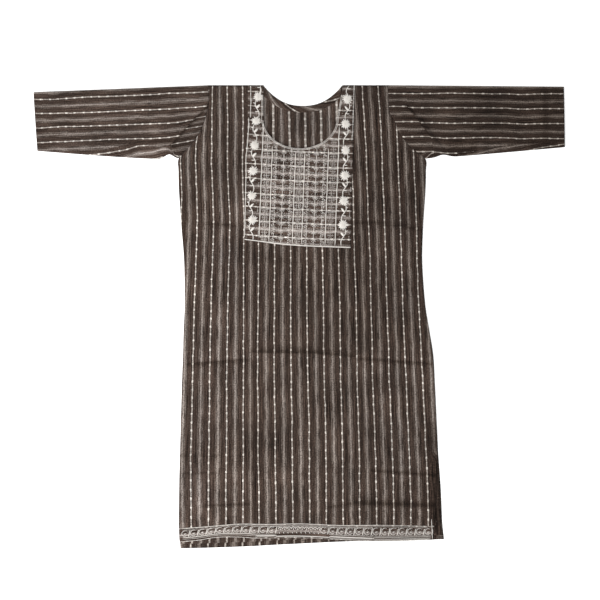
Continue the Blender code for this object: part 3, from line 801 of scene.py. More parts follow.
SLUB = ("968e87", "c5beb6")
SLUB_INSIDE = ("8d857e", "bfb8b0")
COTTON = handloom_cotton("handloom_striped_cotton", 0.030, 0.015, 18.9, *SLUB)
COTTON_INSIDE = handloom_cotton("handloom_cotton_inner_face", 0.062, 0.006, 18.4, *SLUB_INSIDE)
COTTON_LEFT_SLEEVE = handloom_cotton("handloom_cotton_thinner_bands", 0.030, 0.015, 18.9, *SLUB, 0.7)
FLOSS = satin_floss("off_white_embroidery_thread", "c8c2bb", "f7f3ed")
BORDER_FLOSS = satin_floss("soiled_embroidery_thread", "b2aca5", "e2ded8")


def make_back():
    left = (float(left_edge(CHEST)), float(left_edge(LENGTH)), LENGTH)
    right = (float(right_edge(CHEST)), float(right_edge(LENGTH)), LENGTH)
    neck = []
    for share in np.linspace(0.0, 1.0, 41):
        neck.append((mix(-BACK_NECK_HALF_WIDTH, BACK_NECK_HALF_WIDTH, share), *back_neck(share)))
    columns = columns_between(left, neck[0], np.linspace(left[0], neck[0][0], 17))
    columns += neck[:-1]
    columns += columns_between(neck[-1], right, np.linspace(neck[-1][0], right[0], 17)) + [right]
    rows = np.concatenate([(0.0, HEM_TURN - 0.6), spaced(HEM_TURN, CHEST, 10.0)[:-1]])
    x, height = body_grid(columns, rows, 24, right_edge, back_row_height)
    number = back_stripe_number(x, height)
    number[:2] = thinner_lines(number[:2] + HEM_TURN_SHIFT)
    shade = mix(0.85, 1.07, smooth_step((height - 500.0) / 200.0))
    shade[:2] *= 0.72  # the turned hem
    uv = np.stack([number, height], -1)
    made, area = lay_cloth("back_cloth", x, height, CLOTH, uv, COTTON_INSIDE, shade)
    declare(made, "back_panel", area)


def make_front():
    columns, first, last = front_columns()
    creased = (90.0, 155.0, 385.0, 398.0, 652.0)
    lower = spaced(HEM_LINE, BORDER_ROW, 5.0)[:-1]
    middle = spaced(BORDER_ROW, YOKE_ROW, 6.0, 1.7, creased, 18.0)[:-1]
    upper = spaced(YOKE_ROW, CHEST, 6.0, 2.0, (652.0,), 18.0)[:-1]
    rows = np.concatenate([lower, middle, upper])
    x, height = body_grid(columns, rows, 36, front_right_edge, front_row_height)
    level = front_top(x, height)
    # Below the left underarm the outermost line bends in along the seam
    by_seam = smooth_step((12.0 - x + left_edge(height)) / 8.0) * smooth_step((height - 690.0) / 40.0)
    number = stripe_number(x, height) - 0.06 * by_seam
    # Right of the last line the cloth turns plain towards the side slit
    beyond = np.maximum(number - STRIPE_NUMBERS[-1] - 0.16, 0.0)
    number = number - 0.65 * beyond * smooth_step((205.0 - height) / 25.0)
    uv = np.stack([number, height], -1)
    made, area = lay_cloth("front_cloth", x, height, level, uv, COTTON, front_painted_light_and_shade(x, height))
    declare(made, "front_panel", area)
    border = slice(0, len(lower) + 1)
    yoke = slice(len(lower) + len(middle), None)
    return (x[border], height[border]), (x[yoke, first:last + 1], height[yoke, first:last + 1])


# The embroidered grid leans with the yoke: one step across and one step up it
YOKE_MIDDLE = (-6.5, 621.0)  # x and height where the grid's middle line meets the yoke's foot
YOKE_LEAN = 0.0375
YOKE_SLANT = 0.048
YOKE_BOW = 1.7  # how far the dotted lines rise at the yoke's sides
# How far up the yoke its dotted lines run, the lowest first
YOKE_LINES = (-13.5, 15.8, 46.0, 74.3, 101.6, 132.3, 162.0, 192.3, 221.5, 250.8, 280.1, 309.4, 338.7)


def yoke_point(a, b):
    """x and height of a point so far across and up the yoke."""
    return YOKE_MIDDLE[0] + a + YOKE_LEAN * b, YOKE_MIDDLE[1] + b - YOKE_SLANT * a


def yoke_reach(x, height):
    """How far up the yoke a point is."""
    return (height - YOKE_MIDDLE[1] + YOKE_SLANT * (x - YOKE_MIDDLE[0])) / (1.0 + YOKE_LEAN * YOKE_SLANT)


def yoke_top(x, height):
    """Level of the outer face of the yoke and of the border."""
    return front_top(x, height) + CLOTH


def make_yoke(grid):
    x, height = grid
    reach = yoke_reach(x, height) + 0.6 - YOKE_BOW * (x / YOKE_RIGHT[0]) ** 2
    number = np.interp(-reach, -np.array(YOKE_LINES[::-1]), np.arange(len(YOKE_LINES)))
    uv = np.stack([number, x], -1)
    from_middle = np.abs(x - YOKE_MIDDLE[0] - YOKE_LEAN * yoke_reach(x, height))
    shade = 1.18 + 0.27 * smooth_step((80.0 - from_middle) / 4.0)
    shade = shade + 0.4 * np.exp(-((x + 33.0) / 34.0) ** 2 - ((height - 657.0) / 26.0) ** 2)
    made, area = lay_cloth("yoke_cloth", x, height, yoke_top(x, height), uv, COTTON, shade, OVERLAY)
    stitching = embroider_yoke(((x[0], height[0]), (x[:, 0], height[:, 0]), (x[:, -1], height[:, -1])))
    declare(made, "yoke_panel", area,
            [stitching])


def make_border(grid):
    x, height = grid
    # Its stripes run along it, from a dotted line at its foot to the next one at its top
    up = (height - height[0]) / (height[-1] - height[0])
    uv = np.stack([1.0 - 1.02 * up, x], -1)
    shade = np.full(x.shape, 1.3)
    made, area = lay_cloth("border_cloth", x, height, yoke_top(x, height), uv, COTTON, shade, OVERLAY)
    declare(made, "hem_border", area,
            [embroider_border()])


def make_facing():
    steps = 90
    edge, inside = [], []
    for step in range(steps + 1):
        share = 0.5 + FACING_REACH * (step / steps - 0.5)
        x, height = back_neck(share)
        ahead, behind = back_neck(share + 0.01), back_neck(share - 0.01)
        along = Vector((ahead[0] - behind[0], ahead[1] - behind[1])).normalized()
        edge.append((x + along.y * GAP, height - along.x * GAP))
        inner_height = height - along.x * FACING_WIDTH
        lean = NECK_RIGHT_LEAN * (inner_height - NECK_SIDE_FOOT) / (LENGTH - NECK_SIDE_FOOT)
        inner_x = min(x + along.y * FACING_WIDTH, NECK_HALF_WIDTH + lean - FACING_CLEARANCE)
        inside.append((max(inner_x, FACING_CLEARANCE - NECK_HALF_WIDTH), inner_height))
    edge, inside = np.array(edge), np.array(inside)
    shares = np.linspace(0.0, 1.0, 6)
    x = np.array([mix(inside[:, 0], edge[:, 0], s) for s in shares])
    height = np.array([mix(inside[:, 1], edge[:, 1], s) for s in shares])
    arc = np.concatenate([[0.0], np.cumsum(np.hypot(*np.diff(edge, axis=0).T))])
    # Cut on the bias, so that its stripes run slantwise along it
    ahead, aside = math.cos(FACING_BIAS), math.sin(FACING_BIAS)
    wide = shares[:, None] * FACING_WIDTH
    uv = np.stack([(arc * aside + wide * ahead) / FACING_REPEAT, arc * ahead - wide * aside], -1)
    level = FACING_LEVEL + FACING_BULGE * np.sin(np.pi * shares)[:, None]
    made, area = lay_cloth("neck_facing_cloth", x, height, level, uv, COTTON, np.full(x.shape, 0.9))
    declare(made, "back_neck_facing", area)


# Needlework. A path is a list of points on the panel: how far across it, and how far up it.


# A thread's section: (how far across, as a share of its width; how far up, as a share of its crown)
THREAD_SECTION = ((-0.5, -0.3), (-0.38, 0.7), (0.0, 1.0), (0.38, 0.7), (0.5, -0.3))
# How wide a petal is from its root to its tip, as a share of its width
PETAL_OUTLINE = (0.5, 0.85, 1.0, 0.95, 0.75, 0.4)
# Layers of a heavy flower: (length as a share of its radius, petals, width to that length, crown)
FLOWER_LAYERS = ((1.0, 14, 0.27, 0.8), (0.74, 11, 0.27, 1.4), (0.46, 7, 0.3, 1.9))
UNEVEN = np.random.default_rng(11)


def winding(centre, reach, turned):
    """A path about a centre."""
    return np.stack([reach * np.cos(turned), reach * np.sin(turned)], -1) + centre


class Needlework:
    """Raised stitching on a panel, gathered into one mesh."""

    def __init__(self, to_cloth, level, covers):
        self.to_cloth = to_cloth
        self.level = level
        self.covers = covers
        self.points, self.faces, self.uv = [], [], []
        self.count = 0

    def stroke(self, path, width, crown=0.5):
        """A rounded line of thread, as wide as said at each point, where the panel has cloth."""
        path = np.asarray(path, float)
        width = np.broadcast_to(np.asarray(width, float), len(path))
        kept = self.covers(*self.to_cloth(path[:, 0], path[:, 1]))
        for run in np.split(np.arange(len(path)), np.flatnonzero(np.diff(kept)) + 1):
            if kept[run[0]] and len(run) > 1:
                self.lay(path[run], width[run], crown)

    def lay(self, path, width, crown):
        """Adds a rounded strip along a path, with its ends drawn in."""
        x, height = self.to_cloth(path[:, 0], path[:, 1])
        along = np.stack([np.gradient(x), np.gradient(height)], -1)
        along /= np.linalg.norm(along, axis=1, keepdims=True) + 1e-9
        ends = np.ones(len(path))
        ends[[0, -1]] = 0.4
        offset = np.array(THREAD_SECTION)[:, 0] * (width * ends)[:, None]
        rise = np.array(THREAD_SECTION)[:, 1] * crown * ends[:, None]
        ring_x = x[:, None] - along[:, 1:] * offset
        ring_h = height[:, None] + along[:, :1] * offset
        self.points.append(place(ring_x, ring_h, self.level(ring_x, ring_h) + rise))
        run = np.concatenate([[0.0], np.cumsum(np.hypot(np.diff(x), np.diff(height)))])
        self.uv.append(np.stack(np.broadcast_arrays(run[:, None], offset), -1))
        faces = np.array(grid_faces(*ring_x.shape)) + self.count
        self.faces.append(faces[:, ::-1])
        self.count += ring_x.size

    def line(self, start, end, width, crown=0.5, step=5.0):
        """A straight line of thread."""
        count = max(2, int(math.hypot(end[0] - start[0], end[1] - start[1]) / step) + 1)
        self.stroke(np.linspace(start, end, count), width, crown)

    def knots(self, path, pitch, size, crown=0.6):
        """Small round knots along a path."""
        path = np.asarray(path, float)
        run = np.concatenate([[0.0], np.cumsum(np.hypot(*np.diff(path, axis=0).T))])
        for at in np.arange(pitch / 2.0, run[-1], pitch):
            a, b = np.interp(at, run, path[:, 0]), np.interp(at, run, path[:, 1])
            reach = size * UNEVEN.uniform(0.42, 0.56)
            steps = np.array([-1.0, -0.4, 0.4, 1.0])[:, None] * (reach, 0.0)
            self.stroke(steps + (a, b), 2.0 * reach * np.array([1.2, 0.95, 0.95, 1.2]), crown)

    def petal(self, centre, angle, start, length, width, crown=0.6, bend=0.0):
        """A satin-stitch petal or leaf that starts a little way from a centre."""
        share = np.linspace(0.0, 1.0, len(PETAL_OUTLINE))
        path = winding(centre, start + length * share, angle + bend * share)
        self.stroke(path, width * np.array(PETAL_OUTLINE), crown)

    def curl(self, centre, radius, start, sweep, width=1.1, crown=0.45, close=0.6):
        """A scroll that winds in towards its centre."""
        share = np.linspace(0.0, 1.0, 9)
        self.stroke(winding(centre, radius * (1.0 - close * share), start + sweep * share), width, crown)

    def blossom(self, centre, radius, petals, width, crown=0.55, turn=0.0):
        """A small flat flower."""
        for k in range(petals):
            self.petal(centre, turn + math.tau * k / petals, 0.22 * radius, 0.78 * radius, width, crown)

    def chrysanthemum(self, centre, radius):
        """A heavy flower in three layers of petals, with a knotted middle."""
        for reach, petals, width, crown in FLOWER_LAYERS:
            turn = UNEVEN.uniform(0.0, math.tau)
            for k in range(petals):
                long = radius * reach * UNEVEN.uniform(0.82, 1.08)
                angle = turn + math.tau * (k + UNEVEN.uniform(-0.15, 0.15)) / petals
                self.petal(centre, angle, 0.15 * long, 0.85 * long, width * radius * reach, crown, 0.12)
        self.petal(centre, 0.0, -0.12 * radius, 0.24 * radius, 0.26 * radius, 2.0)

    def finish(self, name, material):
        """Makes one piece of all the stitching."""
        faces = np.concatenate(self.faces).tolist()
        made = mesh_object(name, np.concatenate([p.reshape(-1, 3) for p in self.points]), faces,
                           np.concatenate([u.reshape(-1, 2) for u in self.uv]), material)
        return made


# The yoke's embroidered grid. Sizes across are from its middle line, sizes up are from its foot.
BROAD_MIDDLE = 33.4
BROAD_SIDE = 14.8
GRID_TOP = 205.0
# Where the heavy flowers sit, the lowest first
LEFT_FLOWERS = ((-92.9, 48.1), (-95.9, 96.8), (-95.4, 148.1), (-94.1, 200.6), (-93.0, 250.3),
                (-90.2, 300.0), (-88.0, 350.0))
RIGHT_FLOWERS = ((92.9, 46.9), (92.5, 95.6), (93.0, 147.6), (92.0, 199.3), (90.5, 252.9),
                 (91.9, 304.5), (92.5, 356.0))
# The stem below a flower's head, for the right side
VINE = ((3.5, -7.0), (5.4, -12.0), (5.4, -19.0), (2.0, -24.0), (-2.4, -31.0), (-3.2, -36.0), (-2.6, -43.0))


def yoke_grid(x, height):
    """How far across and up the yoke points are."""
    b = yoke_reach(x, height)
    return np.stack([x - YOKE_MIDDLE[0] - YOKE_LEAN * b, b], -1)


def covers_yoke(x, height, edges):
    """Whether points lie on the yoke's cloth, clear of its edges and of the neck."""
    (foot_x, foot_h), (left_x, left_h), (right_x, right_h) = edges
    lean = NECK_RIGHT_LEAN * np.clip((height - NECK_SIDE_FOOT) / (LENGTH - NECK_SIDE_FOOT), 0.0, 1.0)
    beside = np.clip(1.0 - (x / NECK_HALF_WIDTH) ** 2, 0.0, 1.0)
    bowl = NECK_SIDE_FOOT - NECK_ROUND * np.sqrt(beside)
    in_neck = (x > -NECK_HALF_WIDTH - 1.0) & (x < NECK_HALF_WIDTH + lean + 1.0) & (height > bowl - 1.0)
    inside = (x > np.interp(height, left_h, left_x) + 0.5) & (x < np.interp(height, right_h, right_x) - 0.5)
    inside &= (height > np.interp(x, foot_x, foot_h) + 0.5) & (height < LENGTH - 0.5)
    return inside & ~in_neck


def embroider_grid(work):
    """Upright lines, rows of small blossoms and sprigs, and scrolls in the narrow columns."""
    for a, top, width in ((9.5, 0.0, 1.7), (BROAD_MIDDLE, 0.0, 0.9), (57.4, 0.0, 1.7), (77.8, 44.0, 1.7)):
        for side in (-1.0, 1.0):
            wave = [(side * a + UNEVEN.uniform(-0.4, 0.4), b) for b in np.arange(-6.0, GRID_TOP + top, 9.0)]
            work.stroke(wave, width, 0.6)
    for low, high in zip(YOKE_LINES, YOKE_LINES[1:]):
        if low > GRID_TOP:
            continue
        step = high - low
        for middle in (-BROAD_MIDDLE, BROAD_MIDDLE):
            embroider_line_row(work, middle, low)
            embroider_band_row(work, middle, low + step / 2.0)
            embroider_sprigs(work, middle, low, step)
        for middle in (-67.6, 0.0, 67.6):
            for share in (0.25, 0.75):
                embroider_narrow_cell(work, middle, low + step * share)
            for below, size in ((1.0, 1.7), (3.4, 1.2), (step / 2.0 + 1.2, 1.3)):
                level = high - below
                work.knots(np.array([(middle - 9.0, level), (middle + 9.0, level)]), 2.6, size)


def jitter(reach):
    """A small step to any side, as hand stitching has."""
    return UNEVEN.uniform(-reach, reach, 2)


def embroider_dot(work, spot, size):
    """One round knot."""
    spot = np.asarray(spot) + jitter(0.5)
    work.knots([spot - (1.0, 0.0), spot + (1.0, 0.0)], 2.0, size)


def embroider_line_row(work, middle, b):
    """Small knots beside a dotted line, thickest by the side chains."""
    for side in (-1.0, 1.0):
        a = middle + side * BROAD_SIDE
        work.knots([(a - side * 3.0, b), (a + side * 7.0, b)], 2.5, 1.2)
        work.blossom((a, b) + jitter(0.4), 3.2, 5, 1.0, turn=UNEVEN.uniform(0.0, 1.2))
        for up in (-10.4, -6.4, 6.4, 10.4):
            embroider_dot(work, (a, b + up), UNEVEN.uniform(1.6, 2.1))
        for up in (-12.6, -8.4, -4.2, 4.2, 8.4, 12.6):
            embroider_dot(work, (a + side * 3.2, b + up), 1.3)
        for up in (-1.0, 1.0):
            work.petal((a + side * 0.8, b + up * 2.0), math.pi / 2.0 * up + side * 0.2, 0.0, 4.6, 0.9)
            work.curl((a + side * 4.4, b + up * 6.6) + jitter(0.4), 1.9, up, side * 4.4, 0.8)
    work.blossom((middle, b - 0.6), 1.8, 5, 0.6)


def embroider_band_row(work, middle, b):
    """Loose short stitches over a grey band, which they leave looking soft."""
    reach = BROAD_SIDE + 7.5
    for away in (-7.6, -5.8, -4.1, -2.3, 2.2, 3.9, 5.6, 7.4):
        for a in np.arange(middle - reach, middle + reach, 5.2):
            start = (a, b + away) + jitter(0.9)
            end = start + (UNEVEN.uniform(2.2, 4.4), UNEVEN.uniform(-0.6, 0.6))
            # Above and below the band a dark eye stays open on each side of the middle
            if abs(away) < 5.0 or not 2.0 < abs(a + 1.5 - middle) < 12.5:
                work.line(start, end, 0.8, 0.35, 2.2)
    for side in (-1.0, 1.0):
        centre = (middle + side * BROAD_SIDE, b) + jitter(0.5)
        work.blossom(centre, 2.8, 5, 1.0, turn=UNEVEN.uniform(0.0, 1.2))
        embroider_dot(work, (middle + side * 6.0, b - 1.0), 1.4)


def embroider_sprigs(work, middle, low, step):
    """A small umbrella of petals under each line and each band, and loose specks between them."""
    for top, reach in ((low + step, 5.4), (low + step / 2.0, 4.6)):
        for spread in (-1.05, -0.5, 0.5, 1.05):
            angle = -math.pi / 2.0 + spread + UNEVEN.uniform(-0.08, 0.08)
            work.petal((middle, top - 0.5), angle, 1.4, reach * UNEVEN.uniform(0.85, 1.1), 0.9)
        for side in (-1.0, 1.0):
            embroider_dot(work, (middle + side * 3.4, top - 6.0), 1.3)
    for side in (-1.0, 1.0):
        loose = UNEVEN.uniform(0.16, 0.9, 10)
        for share in (*np.linspace(0.04, 0.13, 5), *np.linspace(0.84, 0.97, 11), *loose):
            spot = (middle + side * UNEVEN.uniform(1.0, 13.0), low + step * share)
            work.line(spot, spot + UNEVEN.uniform(-1.6, 1.6, 2) + (0.6, 0.0), 0.8, 0.35, 2.0)


def embroider_narrow_cell(work, middle, b):
    """Four scrolls about an upright leaf, in thinner thread on the right."""
    width, bold = (0.35, 0.7) if middle > 30.0 else (0.6, 0.9)
    for side in (-1.0, 1.0):
        for up in (-1.0, 1.0):
            work.curl((middle + side * 4.4, b + up * 3.9) + jitter(0.5), UNEVEN.uniform(2.6, 3.3),
                      math.pi / 2.0 * (1.0 - side), side * up * 5.4, width)
        work.petal((middle + side * 0.4, b), 0.5 * math.pi * (1.0 - side), 0.6, 6.0, bold)
    work.petal((middle, b - 6.4) + jitter(0.4), math.pi / 2.0, 0.0, 12.8, 1.6 * bold - 0.4)


def embroider_vines(work):
    """A column of heavy flowers on each side, with a leafy stem that bends from one to the next."""
    for side, heads in ((-1.0, LEFT_FLOWERS), (1.0, RIGHT_FLOWERS)):
        for head in np.array(heads):
            work.chrysanthemum(head, UNEVEN.uniform(10.2, 11.4))
            work.stroke([head + (side * u, v) for u, v in VINE], 1.8, 0.8)
            # A broad leaf outside the stem, and a small one to each side of it
            up, down = math.pi / 2.0, -math.pi / 2.0
            length, width = UNEVEN.uniform(9.5, 11.5), UNEVEN.uniform(4.2, 5.4)
            work.petal(head + (side * 2.2, -23.5), up + side * 0.55, 0.0, length, width, 1.1, side * 0.15)
            work.petal(head + (side * 5.2, -15.0), up - side * 1.0, 0.0, 5.5, 1.6, 0.7)
            work.petal(head + (-side * 2.0, -30.0), down + side * 1.2, 0.0, 7.5, 1.8, 0.7, side * 0.3)
            for away in (-1.0, 1.0):
                spot = head + (away * 13.0, -19.0 - 9.0 * away)
                work.knots([spot - (0.0, 5.0), spot + (0.0, 5.0)], 2.6, 1.3)
            for _ in range(14):
                spot = head + (UNEVEN.uniform(-13.0, 13.0), UNEVEN.uniform(-40.0, -8.0))
                end = spot + (UNEVEN.uniform(1.5, 3.5), UNEVEN.uniform(-1.0, 1.0))
                work.line(spot, end, 0.7, 0.35, 2.2)


def embroider_edges(work, edges):
    """Lines of stitching along the neck, the foot and the sides of the yoke."""
    foot, left, right = (np.stack(edge, -1) for edge in edges)
    neck = np.array([front_neck(share) for share in np.linspace(0.0, 1.0, 90)])
    out = np.gradient(neck, axis=0)
    out = np.stack([out[:, 1], -out[:, 0]], -1) / np.linalg.norm(out, axis=1, keepdims=True)
    for away in (1.0, 3.4):
        work.stroke(yoke_grid(*(neck + away * out)[4:-4].T), 0.8, 0.6)
    foot = foot + (0.0, 1.6)
    foot[[0, -1], 0] += (0.7, -0.7)
    work.stroke(yoke_grid(*foot.T), 1.9, 0.8)
    low = left[left[:, 1] < 884.0]
    inset = np.interp(low[:, 1], (630.0, 780.0), (1.0, 2.2))
    work.stroke(yoke_grid(low[:, 0] + inset, low[:, 1]), 1.4, 0.7)
    high = left[left[:, 1] > 878.0]
    work.knots(yoke_grid(*(high + (5.5, 0.0)).T), 2.4, 1.9)
    strap = right[right[:, 1] > 836.0]
    work.knots(yoke_grid(*(strap - (2.0, 0.0)).T), 2.6, 1.8)
    work.line(yoke_grid(-81.0, 948.0), yoke_grid(-81.0, 922.0), 1.6)


def embroider_yoke(edges):
    """All the stitching of the yoke."""
    def covers(x, height):
        return covers_yoke(x, height, edges)

    work = Needlework(yoke_point, yoke_top, covers)
    embroider_grid(work)
    embroider_vines(work)
    embroider_edges(work, edges)
    return work.finish("yoke_embroidery", FLOSS)


BORDER_PITCH = 17.8


def border_point(a, b):
    """x and height of a point so far across and up the border."""
    return a, front_row_height(a, HEM_LINE + b)


def embroider_border():
    """Lines along the border with a row of scrolls and leaves between them."""
    low, high = float(left_edge(HEM_LINE)) + 1.0, float(front_right_edge(HEM_LINE)) - 0.6

    def covers(x, height):
        return (x > low) & (x < high) & (height > 0.0)

    work = Needlework(border_point, yoke_top, covers)
    # (from, to, height up the border, width)
    for start, end, b, width in (
        (low, 165.0, 29.6, 1.1), (165.0, high - 14.0, 28.8, 0.5), (low, -165.0, 26.2, 0.35),
        (low, -165.0, 24.0, 0.35), (-165.0, high - 9.0, 26.8, 0.5),
        (-95.0, 150.0, 24.9, 0.7), (low, -88.0, 8.9, 1.4), (low, -88.0, 0.6, 0.8),
        (low, -88.0, 5.4, 0.7), (-92.0, -48.0, 5.2, 2.4), (-92.0, -48.0, 8.4, 0.8),
        (-50.0, 62.0, 3.8, 2.0), (60.0, 152.0, 5.6, 2.4), (60.0, 152.0, 1.2, 0.8),
        (60.0, 152.0, 3.2, 0.7), (60.0, 152.0, 9.4, 0.8), (150.0, high, 1.4, 1.1),
        (150.0, high - 4.0, 2.8, 0.5), (150.0, high - 4.0, 4.2, 0.9),
        (150.0, high - 4.0, 7.2, 1.0), (150.0, high - 4.0, 9.4, 0.7),
    ):
        work.line((start, b), (end, b), width)
    for k in range(int((high - low) / BORDER_PITCH)):
        a = low + 10.0 + k * BORDER_PITCH
        if -52.0 < a < 44.0:
            embroider_arches(work, a)
        else:
            embroider_scroll(work, a)
        for _ in range(16 if -90.0 < a < 150.0 else 8):
            spot = (a + UNEVEN.uniform(-4.0, 14.0), UNEVEN.uniform(15.0, 27.0))
            work.line(spot, spot + UNEVEN.uniform(-1.0, 1.0, 2) + (2.2, 0.0), 0.7, 0.35, 2.0)
    work.line((high - 0.4, 0.5), (high - 2.6, 44.0), 1.3)
    return work.finish("border_embroidery", BORDER_FLOSS)


def embroider_scroll(work, a):
    """A scroll with a broad leaf beside it."""
    work.curl((a, 17.4), UNEVEN.uniform(7.2, 8.0), 1.0, 4.5, 1.1, 0.6, 0.3)
    work.petal((a - 2.0, 16.6), 0.2, 0.0, 5.2, 1.8)
    work.petal((a + 7.0, 9.8), 1.15, 0.0, UNEVEN.uniform(13.6, 15.4), 1.9, 0.8, 0.25)
    work.petal((a + 11.8, 24.4), -2.1, 0.0, 5.0, 1.0, 0.6)
    work.petal((a + 9.6, 12.0), -0.6, 0.0, 3.0, 1.0, 0.6)


def embroider_arches(work, a):
    """Two small arches, each over a bud."""
    for step in (0.0, BORDER_PITCH / 2.0):
        work.curl((a + step, 18.2), 4.7, 0.1, 2.9, 1.5, 0.5, 0.0)
        work.petal((a + step, 16.6), math.pi / 2.0, 0.0, 4.0, 1.9)
        work.petal((a + step - 3.0, 12.6), -1.1, 0.0, 3.6, 1.6, 0.7)


def make_sleeve(name, node, side, sizes, creases, stripes, worn, cotton):
    """A flattened tube: upper layer, fold along the top, under layer, seam along the bottom."""
    cuff_top_x, cuff_top_h, cuff_foot_x, cuff_foot_h, notch_x, notch_half, rise, sag = sizes
    wide = LENGTH - UNDERARM
    shares = spaced(0.0, wide, 2.6, 0.35, (0.0, wide), 9.0) / wide
    level_at = mix(LENGTH, UNDERARM, shares)
    seam_x = right_edge(level_at) if side > 0 else left_edge(level_at)
    stations = spaced(0.0, SLEEVE_RUN, 2.2) / SLEEVE_RUN
    station, share = np.meshgrid(stations, shares, indexing="ij")
    x = mix(seam_x[None, :], mix(cuff_top_x, cuff_foot_x, share), station)
    height = mix(level_at[None, :], mix(cuff_top_h, cuff_foot_h, share), station)
    notch = rise * np.exp(-(((x - notch_x) / notch_half) ** 2))
    droop = sag * np.sin(math.pi * station**SAG_POWER)
    height = height + (notch - droop) * share**4
    middle = WALL + GAP / 2.0
    inside = smooth_step(np.minimum(share, 1.0 - share) / 0.25) * smooth_step(station / 0.12)
    folds = fold_height(creases, x, height) * np.minimum(1.0, inside + 0.2)
    folds = folds + ripple(x, height) * inside
    lift = np.maximum(0.0, SLEEVE_AIR * inside + folds)
    from_edge = np.minimum(share, 1.0 - share) * wide
    round_off = np.sqrt(np.clip(1.0 - (1.0 - np.clip(from_edge / 3.0, 0.0, 1.0)) ** 2, 0.0, 1.0))
    sunk = ROLL * 0.8 * np.clip(1.0 - station * SLEEVE_RUN / CUFF_ROLL_REACH, 0.0, 1.0) ** 2
    upper = middle + (middle + lift - sunk) * round_off
    under = middle - middle * round_off
    turned = slice(-2, 0, -1)
    ring_x = np.concatenate([x, x[:, turned]], 1)
    ring_height = np.concatenate([height, height[:, turned]], 1)
    level = np.concatenate([upper, under[:, turned]], 1)
    faces = np.array(grid_faces(*ring_x.shape, closed=True))
    # Each layer of cloth beside a tuck keeps its own stripes right up to the tuck's edge
    by_layer = []
    for numbers in stripes(x, height):
        under_numbers = 2.0 * numbers[:, :1] - numbers
        by_layer.append(np.concatenate([numbers, under_numbers[:, turned]], 1).ravel())
    across_face = ring_x.ravel()[faces].mean(1), ring_height.ravel()[faces].mean(1)
    corner_numbers = np.array(by_layer)[stripes.layer_at(*across_face)[:, None], faces]
    # Undoes how the cotton's rows of knots draw closer
    outwards = SLEEVE_KNOTS * (np.abs(ring_x.ravel()[faces]) - SLEEVE_KNOT_START)
    outwards = (np.sqrt(1.0 + 4.0 * KNOT_DRAW * outwards) - 1.0) / (2.0 * KNOT_DRAW)
    uv = np.stack([corner_numbers + (RIGHT_SLEEVE_YARNS if side > 0 else LEFT_SLEEVE_YARNS), outwards], -1)
    # worn gives the sleeve's painted light and painted shade, along its folds and across it
    shade = worn(ring_x, ring_height)
    made = mesh_object(name, place(ring_x, ring_height, level), faces.tolist(), uv, cotton, shade)
    flip_if_inward(made)
    give_thickness(made, SLEEVE_CLOTH)
    area = 2.0 * flat_area(x, height)
    declare(made, node, area)


def flip_if_inward(tube):
    """Turns a sleeve's faces outwards."""
    builder = bmesh.new()
    builder.from_mesh(tube.data)
    bmesh.ops.recalc_face_normals(builder, faces=builder.faces[:])
    upper = [f for f in builder.faces if f.calc_center_median().z > (FRONT_TOP - 0.1) * MM]
    if sum(f.normal.z for f in upper) < 0.0:
        bmesh.ops.reverse_faces(builder, faces=builder.faces[:])
    builder.to_mesh(tube.data)
    builder.free()


class SleeveStripes:
    """Stripes of a sleeve's upper layer: its main cloth, what lies beside the armhole, a turned corner.

    lines are (x, heights of the dotted lines 0 to 4), and band_shift is how far below the middle between
    two of them the grey band lies. beside are (height, number) where the armhole's cloth crosses its own
    upright, and turned are (x, height of line 4) on the cloth of the lower fold.
    """

    def __init__(self, lines, band_shift, tuck, beside, beside_at, beside_slope, turned, fold):
        self.lines, self.band_shift, self.tuck, self.beside = lines, band_shift, tuck, beside
        self.beside_at, self.beside_slope = beside_at, beside_slope
        self.turned, self.fold = turned, fold

    def __call__(self, x, height):
        main = np.zeros(np.shape(x))
        tables = [curve_through(self.lines, k + 1, x) for k in range(5)]
        for k in range(4):
            number = k + (tables[k] - height) / (tables[k] - tables[k + 1])
            main = np.where(number >= k, number, main) if k else number
        main = main - 0.012 - self.band_shift * np.sin(math.pi * main) ** 2
        level = height - self.beside_slope * (x - self.beside_at)
        heights, numbers = zip(*self.beside)
        beyond = np.minimum(level - heights[0], 0.0) + np.maximum(level - heights[-1], 0.0)
        beside = np.interp(level, heights, numbers) - beyond / 30.0
        turned = 4.0 + (curve_through(self.turned, 1, x) - height) / 30.0
        return main, beside, turned

    def layer_at(self, x, height):
        """Which of the three layers a point of the sleeve shows."""
        (x0, h0), (x1, h1) = self.tuck
        at_tuck = np.interp(-height, (-h0, -h1), (x0, x1))
        outer = np.sign(x1 - x0)
        beside = (x - at_tuck) * outer < 0.0
        under_fold = height < np.interp(x, *zip(*self.fold))
        return np.where(under_fold, 2, np.where(beside, 1, 0))


